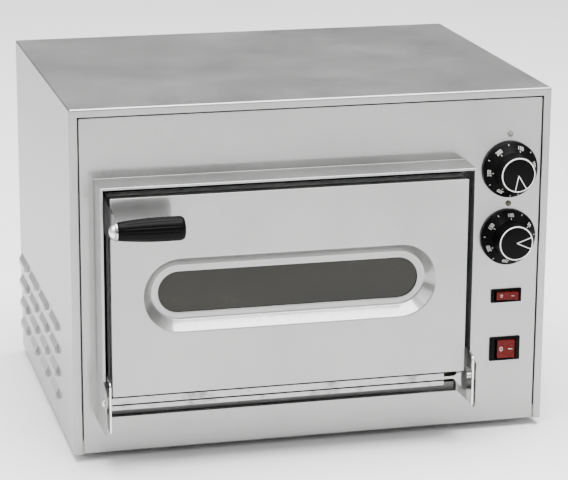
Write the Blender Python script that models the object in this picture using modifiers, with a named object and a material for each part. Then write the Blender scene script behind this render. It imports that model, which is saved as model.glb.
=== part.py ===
"""Countertop electric deck oven: one baking deck, a drop-down door with a window, two thermostats.

Run it with blender --background --python part.py, or from Blender's text editor.
Lengths are in metres. Places are given from the casing's front bottom centre with at(x, y, z):
x to the right, y towards the back and z upwards. The origin is under the object's centre.
"""

import math

import bmesh
import bpy
from mathutils import Matrix, Vector

# Casing
CASING_W = 0.500
CASING_D = 0.376
CASING_H = 0.358
FOOT_H = 0.008
HANDLE_REACH = 0.088
REAR_REACH = 0.016
SHEET = 0.0012
GAP = 0.0003
RIM_W = 0.0085
PANEL_SETBACK = 0.0006
SHELL_EDGE_R = 0.0025

# Where the casing's front bottom centre lies in the object's frame
FRONT_Y = -(CASING_D + REAR_REACH - HANDLE_REACH) / 2
BASE_Z = FOOT_H

# Louvres, pressed outwards in both sides of the casing
LOUVRE_ROWS = 4
LOUVRE_COLUMNS = 4
LOUVRE_LENGTH = 0.050
LOUVRE_HEIGHT = 0.011
LOUVRE_DEPTH = 0.004
LOUVRE_PITCH_Y = 0.074
LOUVRE_PITCH_Z = 0.025
LOUVRE_FIRST_Y = 0.120
LOUVRE_FIRST_Z = 0.033

# Door surround, a box frame that stands out around the door
DECK_X = -0.0335
SURROUND_W = 0.385
SURROUND_TOP = 0.2866
SURROUND_BOTTOM = 0.035
SURROUND_DEPTH = 0.037
SURROUND_HEM = 0.0025
CHEEK_EAR_TOP = 0.089
CHEEK_EAR_REACH = 0.052
SILL_TOP = 0.0712
SILL_FRONT_Y = -0.0385
SILL_RIGHT = 0.1283
SILL_GROOVE_TOP = 0.0645
SILL_GROOVE_BOTTOM = 0.0630
SILL_GROOVE_DEPTH = 0.0060
SILL_BOTTOM = 0.0585
LOWER_FLANGE_RIGHT = 0.142
LOWER_FLANGE_BOTTOM = 0.0395
MOUTH_OPENING = (-0.222, 0.155, 0.038, 0.283)

# Chamber
CHAMBER_W = 0.340
CHAMBER_BOTTOM = 0.0842
CHAMBER_TOP = 0.2640
CHAMBER_BACK = 0.330
FLANGE_Y = 0.008
STONE_BOTTOM = 0.096
STONE_THICK = 0.012
ELEMENT_R = 0.0036
ELEMENT_BEND_R = 0.012
LOWER_ELEMENT_Z = 0.0896
UPPER_ELEMENT_Z = 0.2550
ELEMENT_END_Y = (0.305, 0.280)
ELEMENT_FRONT_Y = 0.060
ELEMENT_PITCH = 0.055
ELEMENT_OUTER_LEFT = -0.170
ELEMENT_INNER_LEFT = -0.120
ELEMENT_INNER_RIGHT = 0.105
ELEMENT_TERMINAL_X = 0.165
SENSOR_R = 0.003
SENSOR_Y = 0.322
UPPER_SENSOR_Z = 0.235
LOWER_SENSOR_Z = 0.118
LAMP_X = -0.150
LAMP_Z = 0.225

# Door
DOOR_W = 0.3668
DOOR_BOTTOM = 0.0725
DOOR_TOP = 0.2760
DOOR_FACE_Y = -0.039
DOOR_BACK_Y = 0.005
SKIN_RETURN = 0.0055
WINDOW_Z = 0.1740
WINDOW_HALF_L = 0.1344
WINDOW_HALF_H = 0.0211
WINDOW_RING = 0.007
WINDOW_FLANK = 0.0098
WINDOW_DISH = 0.012
GLASS_LIP = 0.0045
GLASS_THICK = 0.004

# Door hinge
HINGE_Y = -0.042
HINGE_Z = 0.0685
PIN_R = 0.0025
RUNNING_GAP = 0.0003
ARM_THICK = 0.0028
ARM_FRONT_Y = -0.054
ARM_INNER_X = 0.1862

# Handle
HANDLE_Y = -0.076
HANDLE_Z = 0.2533
GRIP_LENGTH = 0.066
GRIP_R_SMALL = 0.0092
GRIP_R_LARGE = 0.0120
BRACKET_THICK = 0.002

# Controls
CONTROL_X = 0.2065
UPPER_KNOB_Z = 0.2742
LOWER_KNOB_Z = 0.2022
UPPER_PILOT_Z = 0.3112
LOWER_PILOT_Z = 0.2377
SWITCH_X = 0.2071
LAMP_SWITCH_Z = 0.1384
MAIN_SWITCH_Z = 0.0803
KNOB_R = 0.0294
KNOB_CAP_R = 0.0184
KNOB_REACH = 0.028
SHAFT_R = 0.003
PARTITION_X = 0.168
ROCKER_TILT = math.radians(7)
ROCKER_PIVOT_Y = 0.0016
GLAND_Z = 0.045
EARTH_Z = 0.085

# Finishes: base colour, metallic, roughness
STEEL = ((0.62, 0.62, 0.61), 1.0, 0.28)
INNER_STEEL = ((0.50, 0.50, 0.48), 1.0, 0.42)
ALUMINISED = ((0.55, 0.55, 0.53), 0.9, 0.50)
BRIGHT_STEEL = ((0.78, 0.78, 0.77), 1.0, 0.15)
BLACK_PLASTIC = ((0.020, 0.020, 0.020), 0.0, 0.35)
RED_PLASTIC = ((0.42, 0.03, 0.02), 0.0, 0.30)
RUBBER = ((0.025, 0.025, 0.025), 0.0, 0.80)
GLASS = ((0.16, 0.16, 0.13), 0.0, 0.05)
CLEAR_GLASS = ((0.80, 0.85, 0.82), 0.0, 0.05)
STONE = ((0.62, 0.52, 0.38), 0.0, 0.90)
WOOL = ((0.82, 0.80, 0.68), 0.0, 1.0)
SEAL_FABRIC = ((0.55, 0.54, 0.50), 0.0, 0.95)
SHEATH = ((0.16, 0.15, 0.14), 0.8, 0.45)
CERAMIC = ((0.85, 0.84, 0.80), 0.0, 0.60)
BRASS = ((0.70, 0.52, 0.22), 1.0, 0.30)
COPPER = ((0.70, 0.38, 0.24), 1.0, 0.35)
NYLON = ((0.80, 0.78, 0.72), 0.0, 0.50)
GREY_LENS = ((0.60, 0.60, 0.56), 0.0, 0.15)
AMBER_LENS = ((0.32, 0.31, 0.18), 0.0, 0.15)


def at(x, y, z):
    """A point of the object's frame, given from the casing's front bottom centre."""
    return Vector((x, FRONT_Y + y, BASE_Z + z))


def start():
    """Clears the scene and makes the collections for the parts and for their cutters."""
    for old in list(bpy.data.objects):
        bpy.data.objects.remove(old, do_unlink=True)
    for name in ("deck_oven", "cutters"):
        collection = bpy.data.collections.get(name) or bpy.data.collections.new(name)
        if name not in bpy.context.scene.collection.children:
            bpy.context.scene.collection.children.link(collection)


def paint(obj, finish):
    """Gives the object a Principled material of its own."""
    colour, metallic, roughness = finish
    material = bpy.data.materials.new(obj.name + "_material")
    material.use_nodes = True
    shader = material.node_tree.nodes["Principled BSDF"]
    shader.inputs["Base Color"].default_value = (*colour, 1.0)
    shader.inputs["Metallic"].default_value = metallic
    shader.inputs["Roughness"].default_value = roughness
    obj.data.materials.clear()
    obj.data.materials.append(material)


def place(name, mesh, location, finish):
    """Links a new object: a part with a finish, or a cutter without one."""
    obj = bpy.data.objects.new(name, mesh)
    obj.location = location
    if finish is None:
        bpy.data.collections["cutters"].objects.link(obj)
        obj.hide_render = True
        obj.display_type = "WIRE"
    else:
        bpy.data.collections["deck_oven"].objects.link(obj)
        paint(obj, finish)
    return obj


def box(name, low, high, finish=None):
    """A block between two corners, given from the casing's front bottom centre."""
    low, high = Vector(low), Vector(high)
    bm = bmesh.new()
    bmesh.ops.create_cube(bm, size=1.0)
    bmesh.ops.scale(bm, vec=high - low, verts=bm.verts)
    mesh = bpy.data.meshes.new(name)
    bm.to_mesh(mesh)
    bm.free()
    return place(name, mesh, at(*((low + high) / 2)), finish)


def rod(name, radius, ends, finish=None, sides=24):
    """A straight round bar between two points."""
    first, last = (at(*end) for end in ends)
    along = last - first
    bm = bmesh.new()
    bmesh.ops.create_cone(
        bm,
        cap_ends=True,
        segments=sides,
        radius1=radius,
        radius2=radius,
        depth=along.length,
    )
    mesh = bpy.data.meshes.new(name)
    bm.to_mesh(mesh)
    bm.free()
    obj = place(name, mesh, (first + last) / 2, finish)
    obj.rotation_euler = along.to_track_quat("Z", "Y").to_euler()
    return obj


def turned(name, profile, centre, towards, finish, steps=24):
    """A turned piece: (radius, height) points run down its outer side, heights along towards."""
    mesh = bpy.data.meshes.new(name)
    points = [(radius, 0.0, height) for radius, height in profile]
    mesh.from_pydata(points, [(i, i + 1) for i in range(len(points) - 1)], [])
    obj = place(name, mesh, at(*centre), finish)
    obj.rotation_euler = Vector(towards).to_track_quat("Z", "Y").to_euler()
    screw = obj.modifiers.new("turn", "SCREW")
    screw.angle = math.tau
    screw.steps = steps
    screw.render_steps = steps
    screw.use_merge_vertices = True
    screw.merge_threshold = 0.00001
    screw.use_smooth_shade = True
    return obj


def mesh_of_curve(name, curve, matrix, finish):
    """Turns a curve into a closed mesh object, with its caps welded on."""
    guide = bpy.data.objects.new(name + "_curve", curve)
    bpy.context.scene.collection.objects.link(guide)
    guide.matrix_world = matrix
    bpy.context.view_layer.update()
    evaluated = guide.evaluated_get(bpy.context.evaluated_depsgraph_get())
    mesh = bpy.data.meshes.new_from_object(evaluated)
    mesh.name = name
    bm = bmesh.new()
    bm.from_mesh(mesh)
    bmesh.ops.remove_doubles(bm, verts=bm.verts, dist=0.000005)
    bmesh.ops.recalc_face_normals(bm, faces=bm.faces)
    bm.to_mesh(mesh)
    bm.free()
    bpy.data.objects.remove(guide, do_unlink=True)
    obj = place(name, mesh, (0, 0, 0), finish)
    obj.matrix_world = matrix
    return obj


def plate(name, outlines, thickness, centre, facing, finish=None):
    """A flat plate, its outer outline first and its holes after it, centred on its thickness.

    facing "front" reads outline points as (x, z), and facing "side" reads them as (y, z).
    """
    curve = bpy.data.curves.new(name, "CURVE")
    curve.dimensions = "2D"
    curve.fill_mode = "BOTH"
    curve.extrude = thickness / 2
    for outline in outlines:
        spline = curve.splines.new("POLY")
        spline.points.add(len(outline) - 1)
        for point, (u, v) in zip(spline.points, outline):
            point.co = (u, v, 0, 1)
        spline.use_cyclic_u = True
    turn = Matrix.Rotation(math.pi / 2, 4, "X")
    if facing == "side":
        turn = Matrix.Rotation(math.pi / 2, 4, "Z") @ turn
    return mesh_of_curve(name, curve, Matrix.Translation(at(*centre)) @ turn, finish)


def tube(name, points, radius, finish):
    """A bent round tube through points given from the casing's front bottom centre."""
    curve = bpy.data.curves.new(name, "CURVE")
    curve.dimensions = "3D"
    curve.bevel_depth = radius
    curve.bevel_resolution = 2
    curve.use_fill_caps = True
    spline = curve.splines.new("POLY")
    spline.points.add(len(points) - 1)
    for point, place_on_tube in zip(spline.points, points):
        point.co = (*at(*place_on_tube), 1)
    return mesh_of_curve(name, curve, Matrix.Identity(4), finish)


def boolean(obj, operation, *others):
    """Adds an exact Boolean for each of the other objects."""
    for other in others:
        modifier = obj.modifiers.new(operation.lower(), "BOOLEAN")
        modifier.operation = operation
        modifier.solver = "EXACT"
        modifier.object = other


def cut(obj, *others):
    """Cuts the other objects out of obj."""
    boolean(obj, "DIFFERENCE", *others)


def join(obj, *others):
    """Joins the other objects onto obj."""
    boolean(obj, "UNION", *others)


def soften(obj, width, segments=2):
    """Rounds the sharp edges of an object."""
    bevel = obj.modifiers.new("soften", "BEVEL")
    bevel.width = width
    bevel.segments = segments
    bevel.limit_method = "ANGLE"


def rectangle(left, right, bottom, top):
    """The corners of a rectangle, anticlockwise."""
    return [(left, bottom), (right, bottom), (right, top), (left, top)]


def circle(u, v, radius, sides=20):
    """Points of a circle."""
    angles = [math.tau * i / sides for i in range(sides)]
    return [(u + radius * math.cos(a), v + radius * math.sin(a)) for a in angles]


def stadium(u, v, half_length, half_height, steps=10):
    """Points of a slot with half-round ends."""
    points = []
    for side, first in ((1, -math.pi / 2), (-1, math.pi / 2)):
        for i in range(steps + 1):
            angle = first + math.pi * i / steps
            straight = side * (half_length - half_height)
            along = straight + half_height * math.cos(angle)
            points.append((u + along, v + half_height * math.sin(angle)))
    return points


def stadium_loft(name, front, front_y, back, back_y, finish=None):
    """A closed solid between two stadium outlines that face the front."""
    bm = bmesh.new()
    rings = []
    for outline, depth in ((front, front_y), (back, back_y)):
        rings.append([bm.verts.new((x, depth, z)) for x, z in outline])
    count = len(front)
    for i in range(count):
        following = (i + 1) % count
        bm.faces.new((rings[0][i], rings[0][following], rings[1][following], rings[1][i]))
    bm.faces.new(rings[0])
    bm.faces.new(rings[1])
    bmesh.ops.recalc_face_normals(bm, faces=bm.faces)
    mesh = bpy.data.meshes.new(name)
    bm.to_mesh(mesh)
    bm.free()
    return place(name, mesh, at(0, 0, 0), finish)


def bent_path(corners, radius, steps=2):
    """Corner points (x, y) with each inner corner replaced by an arc."""
    path = [corners[0]]
    for before, corner, after in zip(corners, corners[1:], corners[2:]):
        arrive = (Vector(before) - Vector(corner)).normalized()
        leave = (Vector(after) - Vector(corner)).normalized()
        centre = Vector(corner) + radius * (arrive + leave)
        for i in range(steps + 1):
            turn = math.pi / 2 * i / steps
            path.append(tuple(centre - radius * (leave * math.cos(turn) + arrive * math.sin(turn))))
    path.append(corners[-1])
    return path


# Casing -------------------------------------------------------------------------------------------


def louvre_wedge(bm, side, y, z, profile, half_length):
    """Adds one louvre's wedge: its profile gives (distance beyond the side, height) corners."""
    ends = []
    for direction in (-1, 1):
        ends.append(
            [
                bm.verts.new((side * (CASING_W / 2 + reach), y + direction * half_length, z + height))
                for reach, height in profile
            ]
        )
    first, last = ends
    bm.faces.new(first)
    bm.faces.new(last)
    for a, b in ((0, 1), (1, 2), (2, 0)):
        bm.faces.new((first[a], first[b], last[b], last[a]))


def louvre_field(name, side, profile, half_length):
    """All the louvres of one side in one mesh: their outsides, or the hollows within them."""
    bm = bmesh.new()
    for row in range(LOUVRE_ROWS):
        for column in range(LOUVRE_COLUMNS):
            y = LOUVRE_FIRST_Y + column * LOUVRE_PITCH_Y
            z = LOUVRE_FIRST_Z + row * LOUVRE_PITCH_Z
            louvre_wedge(bm, side, y, z, profile, half_length)
    bmesh.ops.recalc_face_normals(bm, faces=bm.faces)
    mesh = bpy.data.meshes.new(name)
    bm.to_mesh(mesh)
    bm.free()
    return place(name, mesh, at(0, 0, 0), None)


def make_outer_shell():
    """Top and both sides in one bent sheet, with a return flange at the front and at the back."""
    half_w = CASING_W / 2
    shell = box("outer_shell", (-half_w, 0, 0), (half_w, CASING_D, CASING_H), STEEL)
    soften(shell, SHELL_EDGE_R)
    inside = box(
        "shell_inside",
        (-half_w + SHEET, SHEET, -0.010),
        (half_w - SHEET, CASING_D - SHEET, CASING_H - SHEET),
    )
    windows = box(
        "shell_windows",
        (-half_w + RIM_W, -0.010, -0.010),
        (half_w - RIM_W, CASING_D + 0.010, CASING_H - RIM_W),
    )
    cut(shell, inside, windows)
    half_h = LOUVRE_HEIGHT / 2
    outside = ((-SHEET / 2, half_h), (-SHEET / 2, -half_h), (LOUVRE_DEPTH, -half_h))
    low = -half_h - SHEET / 2
    hollow = ((-2 * SHEET, half_h - SHEET), (-2 * SHEET, low), (LOUVRE_DEPTH - SHEET, low))
    half_length = LOUVRE_LENGTH / 2
    for side, label in ((-1, "left"), (1, "right")):
        join(shell, louvre_field("louvres_" + label, side, outside, half_length))
        cut(shell, louvre_field("louvre_slots_" + label, side, hollow, half_length - SHEET))


def make_front_panel():
    """The flat front sheet, inside the shell's rim, with the deck's opening and the control holes."""
    edge = CASING_W / 2 - RIM_W - 0.0007
    outlines = [
        rectangle(-edge, edge, 0.0005, CASING_H - RIM_W - 0.0007),
        rectangle(*MOUTH_OPENING),
        circle(CONTROL_X, UPPER_KNOB_Z, 0.005),
        circle(CONTROL_X, LOWER_KNOB_Z, 0.005),
        circle(CONTROL_X, UPPER_PILOT_Z, 0.0028, 12),
        circle(CONTROL_X, LOWER_PILOT_Z, 0.0028, 12),
    ]
    for z, half_h in ((LAMP_SWITCH_Z, 0.0062), (MAIN_SWITCH_Z, 0.0115)):
        left, right = SWITCH_X - 0.0152, SWITCH_X + 0.0152
        outlines.append(rectangle(left, right, z - half_h, z + half_h))
    plate("front_panel", outlines, SHEET, (0, PANEL_SETBACK + SHEET / 2, 0), "front", STEEL)


def make_rear_panel():
    """The back sheet, with rows of vent slots and the holes for the inlet and the earth stud."""
    edge = CASING_W / 2 - RIM_W - 0.0007
    outlines = [
        rectangle(-edge, edge, 0.0005, CASING_H - RIM_W - 0.0007),
        circle(CONTROL_X, GLAND_Z, 0.0068, 16),
        circle(CONTROL_X, EARTH_Z, 0.0036, 12),
    ]
    for row in range(3):
        for column in range(5):
            x = -0.180 + column * 0.066
            outlines.append(stadium(x, 0.288 + row * 0.016, 0.025, 0.003, 3))
    y = CASING_D - PANEL_SETBACK - SHEET / 2
    plate("rear_panel", outlines, SHEET, (0, y, 0), "front", ALUMINISED)


def make_base_pan():
    """The tray that closes the casing's underside."""
    edge = CASING_W / 2 - SHEET - 0.0005
    pan = box("base_pan", (-edge, 0.0024, 0), (edge, CASING_D - 0.0024, 0.014), ALUMINISED)
    inner = edge - SHEET
    hollow = box("pan_hollow", (-inner, 0.0036, SHEET), (inner, CASING_D - 0.0036, 0.030))
    cut(pan, hollow)
    for row in range(2):
        for column in range(3):
            x, y = -0.110 + column * 0.110, 0.150 + row * 0.090
            low, high = (x - 0.030, y - 0.003, -0.005), (x + 0.030, y + 0.003, 0.005)
            cut(pan, box(f"pan_slot_{row}_{column}", low, high))


def make_feet():
    """Four short rubber feet, set well in from the edges."""
    for end, y in (("front", 0.055), ("rear", 0.320)):
        for side, x in (("left", -0.195), ("right", 0.195)):
            profile = [(0, -GAP), (0.0145, -GAP), (0.0140, -0.004), (0.0125, -FOOT_H), (0, -FOOT_H)]
            turned(f"foot_{end}_{side}", profile, (x, y, 0), (0, 0, 1), RUBBER, 20)


def make_partition():
    """The heat shield between the chamber and the controls."""
    shield = box(
        "control_partition",
        (PARTITION_X, 0.012, 0.004),
        (PARTITION_X + SHEET, 0.370, 0.354),
        ALUMINISED,
    )
    for label, z in (("upper", UPPER_SENSOR_Z), ("lower", LOWER_SENSOR_Z)):
        ends = ((PARTITION_X - 0.01, SENSOR_Y, z), (PARTITION_X + 0.01, SENSOR_Y, z))
        cut(shield, rod("shield_hole_" + label, 0.003, ends, sides=12))


# Deck ---------------------------------------------------------------------------------------------


def make_door_surround():
    """Top wall and two cheeks that stand out around the door, with a hem along the front edge."""
    left, right = DECK_X - SURROUND_W / 2, DECK_X + SURROUND_W / 2
    front, back = -SURROUND_DEPTH, PANEL_SETBACK - GAP
    surround = box(
        "door_surround",
        (left, front, CHEEK_EAR_TOP),
        (right, back, SURROUND_TOP),
        STEEL,
    )
    hollow = box(
        "surround_hollow",
        (left + SHEET, front + SHEET, 0),
        (right - SHEET, 0.010, SURROUND_TOP - SHEET),
    )
    mouth = box(
        "surround_mouth",
        (left + SURROUND_HEM, front - 0.010, 0),
        (right - SURROUND_HEM, 0.010, SURROUND_TOP - SURROUND_HEM),
    )
    cut(surround, hollow, mouth)
    for label, x in (("left", left), ("right", right - SHEET)):
        lower = plate(
            "cheek_" + label,
            [
                [
                    (back, SURROUND_BOTTOM),
                    (back, CHEEK_EAR_TOP + 0.002),
                    (front + 0.0006, CHEEK_EAR_TOP + 0.002),
                    (front + 0.0006, CHEEK_EAR_TOP),
                    (-CHEEK_EAR_REACH, CHEEK_EAR_TOP - 0.006),
                    (-CHEEK_EAR_REACH, SURROUND_BOTTOM + 0.004),
                    (-CHEEK_EAR_REACH + 0.004, SURROUND_BOTTOM),
                ],
                circle(HINGE_Y, HINGE_Z, PIN_R + RUNNING_GAP, 16),
            ],
            SHEET,
            (x + SHEET / 2, 0, 0),
            "side",
        )
        join(surround, lower)


def make_door_sill():
    """The folded ledge under the door: two front strips with a groove between, and a right tab."""
    left = DECK_X - ARM_INNER_X + 0.0013
    front, back = SILL_FRONT_Y, FLANGE_Y - GAP
    groove = front + SILL_GROOVE_DEPTH
    fold = [
        (back, SILL_TOP),
        (front, SILL_TOP),
        (front, SILL_GROOVE_TOP),
        (groove, SILL_GROOVE_TOP),
        (groove, SILL_GROOVE_BOTTOM),
        (front, SILL_GROOVE_BOTTOM),
        (front, SILL_BOTTOM),
        (front + SHEET, SILL_BOTTOM),
        (front + SHEET, SILL_GROOVE_BOTTOM - SHEET),
        (groove + SHEET, SILL_GROOVE_BOTTOM - SHEET),
        (groove + SHEET, SILL_GROOVE_TOP + SHEET),
        (front + SHEET, SILL_GROOVE_TOP + SHEET),
        (front + SHEET, SILL_TOP - SHEET),
        (back - SHEET, SILL_TOP - SHEET),
        (back - SHEET, SILL_GROOVE_TOP),
        (back, SILL_GROOVE_TOP),
    ]
    middle = (left + SILL_RIGHT) / 2
    sill = plate("door_sill", [fold], SILL_RIGHT - left, (middle, 0, 0), "side", STEEL)
    tab = [
        (SILL_RIGHT - 0.0010, SILL_GROOVE_TOP + 0.0003),
        (SILL_RIGHT + 0.0104, SILL_GROOVE_TOP + 0.0003),
        (SILL_RIGHT + 0.0187, SILL_BOTTOM - 0.0031),
        (SILL_RIGHT + 0.0187, SILL_TOP - 0.0004),
        (SILL_RIGHT + 0.0155, SILL_TOP - 0.0004),
        (SILL_RIGHT + 0.0104, SILL_GROOVE_TOP + 0.0031),
        (SILL_RIGHT - 0.0010, SILL_GROOVE_TOP + 0.0031),
    ]
    join(sill, plate("sill_tab", [tab], SHEET, (0, front + SHEET / 2, 0), "front"))


def chamber_sides():
    """The chamber's inner left and right faces."""
    return DECK_X - CHAMBER_W / 2, DECK_X + CHAMBER_W / 2


def make_chamber_liner():
    """The baking chamber: a sheet box open at the front, with a flange around its mouth."""
    left, right = chamber_sides()
    liner = box(
        "chamber_liner",
        (left - SHEET, FLANGE_Y, CHAMBER_BOTTOM - SHEET),
        (right + SHEET, CHAMBER_BACK + SHEET, CHAMBER_TOP + SHEET),
        INNER_STEEL,
    )
    flange = box(
        "mouth_flange",
        (-0.232, FLANGE_Y, 0.066),
        (0.165, FLANGE_Y + SHEET, 0.293),
    )
    lower_flange = box(
        "lower_flange",
        (-0.232, FLANGE_Y, LOWER_FLANGE_BOTTOM),
        (LOWER_FLANGE_RIGHT, FLANGE_Y + SHEET, 0.067),
    )
    inside = box(
        "chamber_inside",
        (left, FLANGE_Y - 0.010, CHAMBER_BOTTOM),
        (right, CHAMBER_BACK, CHAMBER_TOP),
    )
    join(liner, flange, lower_flange)
    cut(liner, inside)
    for label, z in (("lower", LOWER_ELEMENT_Z), ("upper", UPPER_ELEMENT_Z)):
        for i, y in enumerate(ELEMENT_END_Y):
            ends = ((right - 0.01, y, z), (right + 0.01, y, z))
            cut(liner, rod(f"liner_{label}_hole_{i}", ELEMENT_R + 0.0006, ends, sides=12))
    for label, z in (("upper", UPPER_SENSOR_Z), ("lower", LOWER_SENSOR_Z)):
        ends = ((right - 0.01, SENSOR_Y, z), (right + 0.01, SENSOR_Y, z))
        cut(liner, rod(f"liner_{label}_sensor_hole", SENSOR_R + 0.0005, ends, sides=12))
    ends = ((LAMP_X, CHAMBER_BACK - 0.01, LAMP_Z), (LAMP_X, CHAMBER_BACK + 0.01, LAMP_Z))
    cut(liner, rod("liner_lamp_hole", 0.0170, ends, sides=24))


def make_chamber_gasket():
    """The fibreglass seal around the chamber's mouth that the door closes on."""
    left, right = chamber_sides()
    outlines = [
        rectangle(left - 0.0095, right + 0.0095, 0.0760, 0.2725),
        rectangle(left - 0.0025, right + 0.0025, 0.0815, 0.2665),
    ]
    thick = FLANGE_Y - DOOR_BACK_Y - 2 * GAP
    y = (FLANGE_Y + DOOR_BACK_Y) / 2
    plate("chamber_gasket", outlines, thick, (0, y, 0), "front", SEAL_FABRIC)


def make_stone_and_rails():
    """The refractory baking stone and the two angle rails that it rests on."""
    left, right = chamber_sides()
    stone = box(
        "baking_stone",
        (left + 0.0045, 0.014, STONE_BOTTOM),
        (right - 0.0045, 0.318, STONE_BOTTOM + STONE_THICK),
        STONE,
    )
    soften(stone, 0.001, 1)
    for label, wall, inward in (("left", left, 1), ("right", right, -1)):
        near = wall + inward * GAP
        far = wall + inward * 0.0135
        upright = near + inward * SHEET
        top = STONE_BOTTOM - GAP
        rail = box(
            "stone_rail_" + label,
            (min(near, far), 0.014, top - SHEET),
            (max(near, far), 0.270, top),
            INNER_STEEL,
        )
        leg = box(
            "rail_leg_" + label,
            (min(near, upright), 0.014, CHAMBER_BOTTOM + GAP),
            (max(near, upright), 0.270, top - SHEET / 2),
        )
        join(rail, leg)


def make_heating_elements():
    """Two sheathed heating elements, bent into the same loops under the stone and under the roof."""
    far_y, near_y = ELEMENT_END_Y
    runs = [ELEMENT_FRONT_Y + ELEMENT_PITCH * i for i in range(4)]
    corners = [
        (ELEMENT_TERMINAL_X, far_y),
        (ELEMENT_OUTER_LEFT, far_y),
        (ELEMENT_OUTER_LEFT, runs[0]),
        (ELEMENT_INNER_RIGHT, runs[0]),
        (ELEMENT_INNER_RIGHT, runs[1]),
        (ELEMENT_INNER_LEFT, runs[1]),
        (ELEMENT_INNER_LEFT, runs[2]),
        (ELEMENT_INNER_RIGHT, runs[2]),
        (ELEMENT_INNER_RIGHT, runs[3]),
        (ELEMENT_INNER_LEFT, runs[3]),
        (ELEMENT_INNER_LEFT, near_y),
        (ELEMENT_TERMINAL_X, near_y),
    ]
    path = bent_path(corners, ELEMENT_BEND_R)
    for label, z in (("lower", LOWER_ELEMENT_Z), ("upper", UPPER_ELEMENT_Z)):
        tube(label + "_heating_element", [(x, y, z) for x, y in path], ELEMENT_R, SHEATH)


def make_chamber_lamp():
    """The chamber's lamp in its back wall: a can, a bulb and a screwed glass cover."""
    centre = (LAMP_X, CHAMBER_BACK, LAMP_Z)
    can = [
        (0, -0.034),
        (0.0155, -0.034),
        (0.0155, 0.0026),
        (0.0210, 0.0026),
        (0.0210, 0.0003),
        (0.0165, 0.0003),
        (0.0165, -0.036),
        (0, -0.036),
    ]
    bulb = [
        (0, -0.006),
        (0.0060, -0.008),
        (0.0100, -0.014),
        (0.0100, -0.018),
        (0.0070, -0.025),
        (0.0065, -0.0335),
        (0, -0.0335),
    ]
    cover = [
        (0, 0.0200),
        (0.0100, 0.0185),
        (0.0170, 0.0120),
        (0.0190, 0.0050),
        (0.0205, 0.0029),
        (0.0170, 0.0029),
        (0.0155, 0.0110),
        (0.0090, 0.0165),
        (0, 0.0180),
    ]
    turned("lamp_holder", can, centre, (0, -1, 0), BRIGHT_STEEL)
    turned("lamp_bulb", bulb, centre, (0, -1, 0), CLEAR_GLASS, 16)
    turned("lamp_cover_glass", cover, centre, (0, -1, 0), CLEAR_GLASS, 20)


def make_insulation():
    """Mineral wool blankets around the chamber."""
    left, right = chamber_sides()
    outer_left, outer_right = -0.236, PARTITION_X - 0.002
    low, high = CHAMBER_BOTTOM - SHEET, CHAMBER_TOP + SHEET
    back = CHAMBER_BACK + SHEET
    box(
        "insulation_top",
        (outer_left, 0.012, high + 0.0006),
        (outer_right, back, high + 0.050),
        WOOL,
    )
    box(
        "insulation_bottom",
        (outer_left, 0.040, 0.030),
        (outer_right, back, low - 0.0006),
        WOOL,
    )
    box("insulation_left", (outer_left, 0.012, low), (left - SHEET - 0.0006, back, high), WOOL)
    box("insulation_right", (right + SHEET + 0.0006, 0.012, low), (outer_right, 0.262, high), WOOL)
    rear = box(
        "insulation_rear",
        (left, back + 0.0006, low),
        (right, 0.370, high),
        WOOL,
    )
    ends = ((LAMP_X, back - 0.01, LAMP_Z), (LAMP_X, 0.380, LAMP_Z))
    cut(rear, rod("lamp_way", 0.0185, ends))


# Door ---------------------------------------------------------------------------------------------


def door_sides(inset=0.0):
    """The door's left and right faces, moved in by inset."""
    return DECK_X - DOOR_W / 2 + inset, DECK_X + DOOR_W / 2 - inset


def window_outline(grow):
    """The window's stadium, grown by a margin."""
    return stadium(DECK_X, WINDOW_Z, WINDOW_HALF_L + grow, WINDOW_HALF_H + grow)


def make_door_outer_skin():
    """The door's front sheet, with a short return and a dished stadium around the window."""
    left, right = door_sides()
    skin = box(
        "door_outer_skin",
        (left, DOOR_FACE_Y, DOOR_BOTTOM),
        (right, DOOR_FACE_Y + SKIN_RETURN, DOOR_TOP),
        STEEL,
    )
    hollow = box(
        "skin_hollow",
        (left + SHEET, DOOR_FACE_Y + SHEET, DOOR_BOTTOM + SHEET),
        (right - SHEET, DOOR_FACE_Y + 0.020, DOOR_TOP - SHEET),
    )
    ring = WINDOW_RING
    rim = WINDOW_RING + WINDOW_FLANK
    dish_y = DOOR_FACE_Y + WINDOW_DISH
    back_of_dish = stadium_loft(
        "dish_back",
        window_outline(rim + SHEET),
        DOOR_FACE_Y + SHEET / 2,
        window_outline(ring + SHEET),
        dish_y + SHEET,
    )
    dish = stadium_loft(
        "dish_front",
        window_outline(rim + WINDOW_FLANK * 0.1),
        DOOR_FACE_Y - WINDOW_DISH * 0.1,
        window_outline(ring),
        dish_y,
    )
    window = stadium_loft(
        "skin_window",
        window_outline(0),
        dish_y - 0.005,
        window_outline(0),
        dish_y + 0.005,
    )
    cut(skin, hollow)
    join(skin, back_of_dish)
    cut(skin, dish, window)


def make_door_inner_liner():
    """The door's inner tray, with its own window and three slots in its top flange."""
    left, right = door_sides(0.0004)
    bottom, top = DOOR_BOTTOM + 0.0004, DOOR_TOP - 0.0004
    front = DOOR_FACE_Y + SKIN_RETURN + GAP
    liner = box(
        "door_inner_liner",
        (left, front, bottom),
        (right, DOOR_BACK_Y, top),
        INNER_STEEL,
    )
    hollow = box(
        "liner_hollow",
        (left + SHEET, front - 0.010, bottom + SHEET),
        (right - SHEET, DOOR_BACK_Y - SHEET, top - SHEET),
    )
    window = stadium_loft("liner_window", window_outline(0), -0.010, window_outline(0), 0.020)
    cut(liner, hollow, window)
    for label, offset in (("left", -0.1562), ("middle", 0.0), ("right", 0.1562)):
        x = DECK_X + offset
        slot = box(
            "flange_slot_" + label,
            (x - 0.0045, -0.0232, top - 0.004),
            (x + 0.0045, -0.0214, top + 0.004),
        )
        cut(liner, slot)


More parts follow.
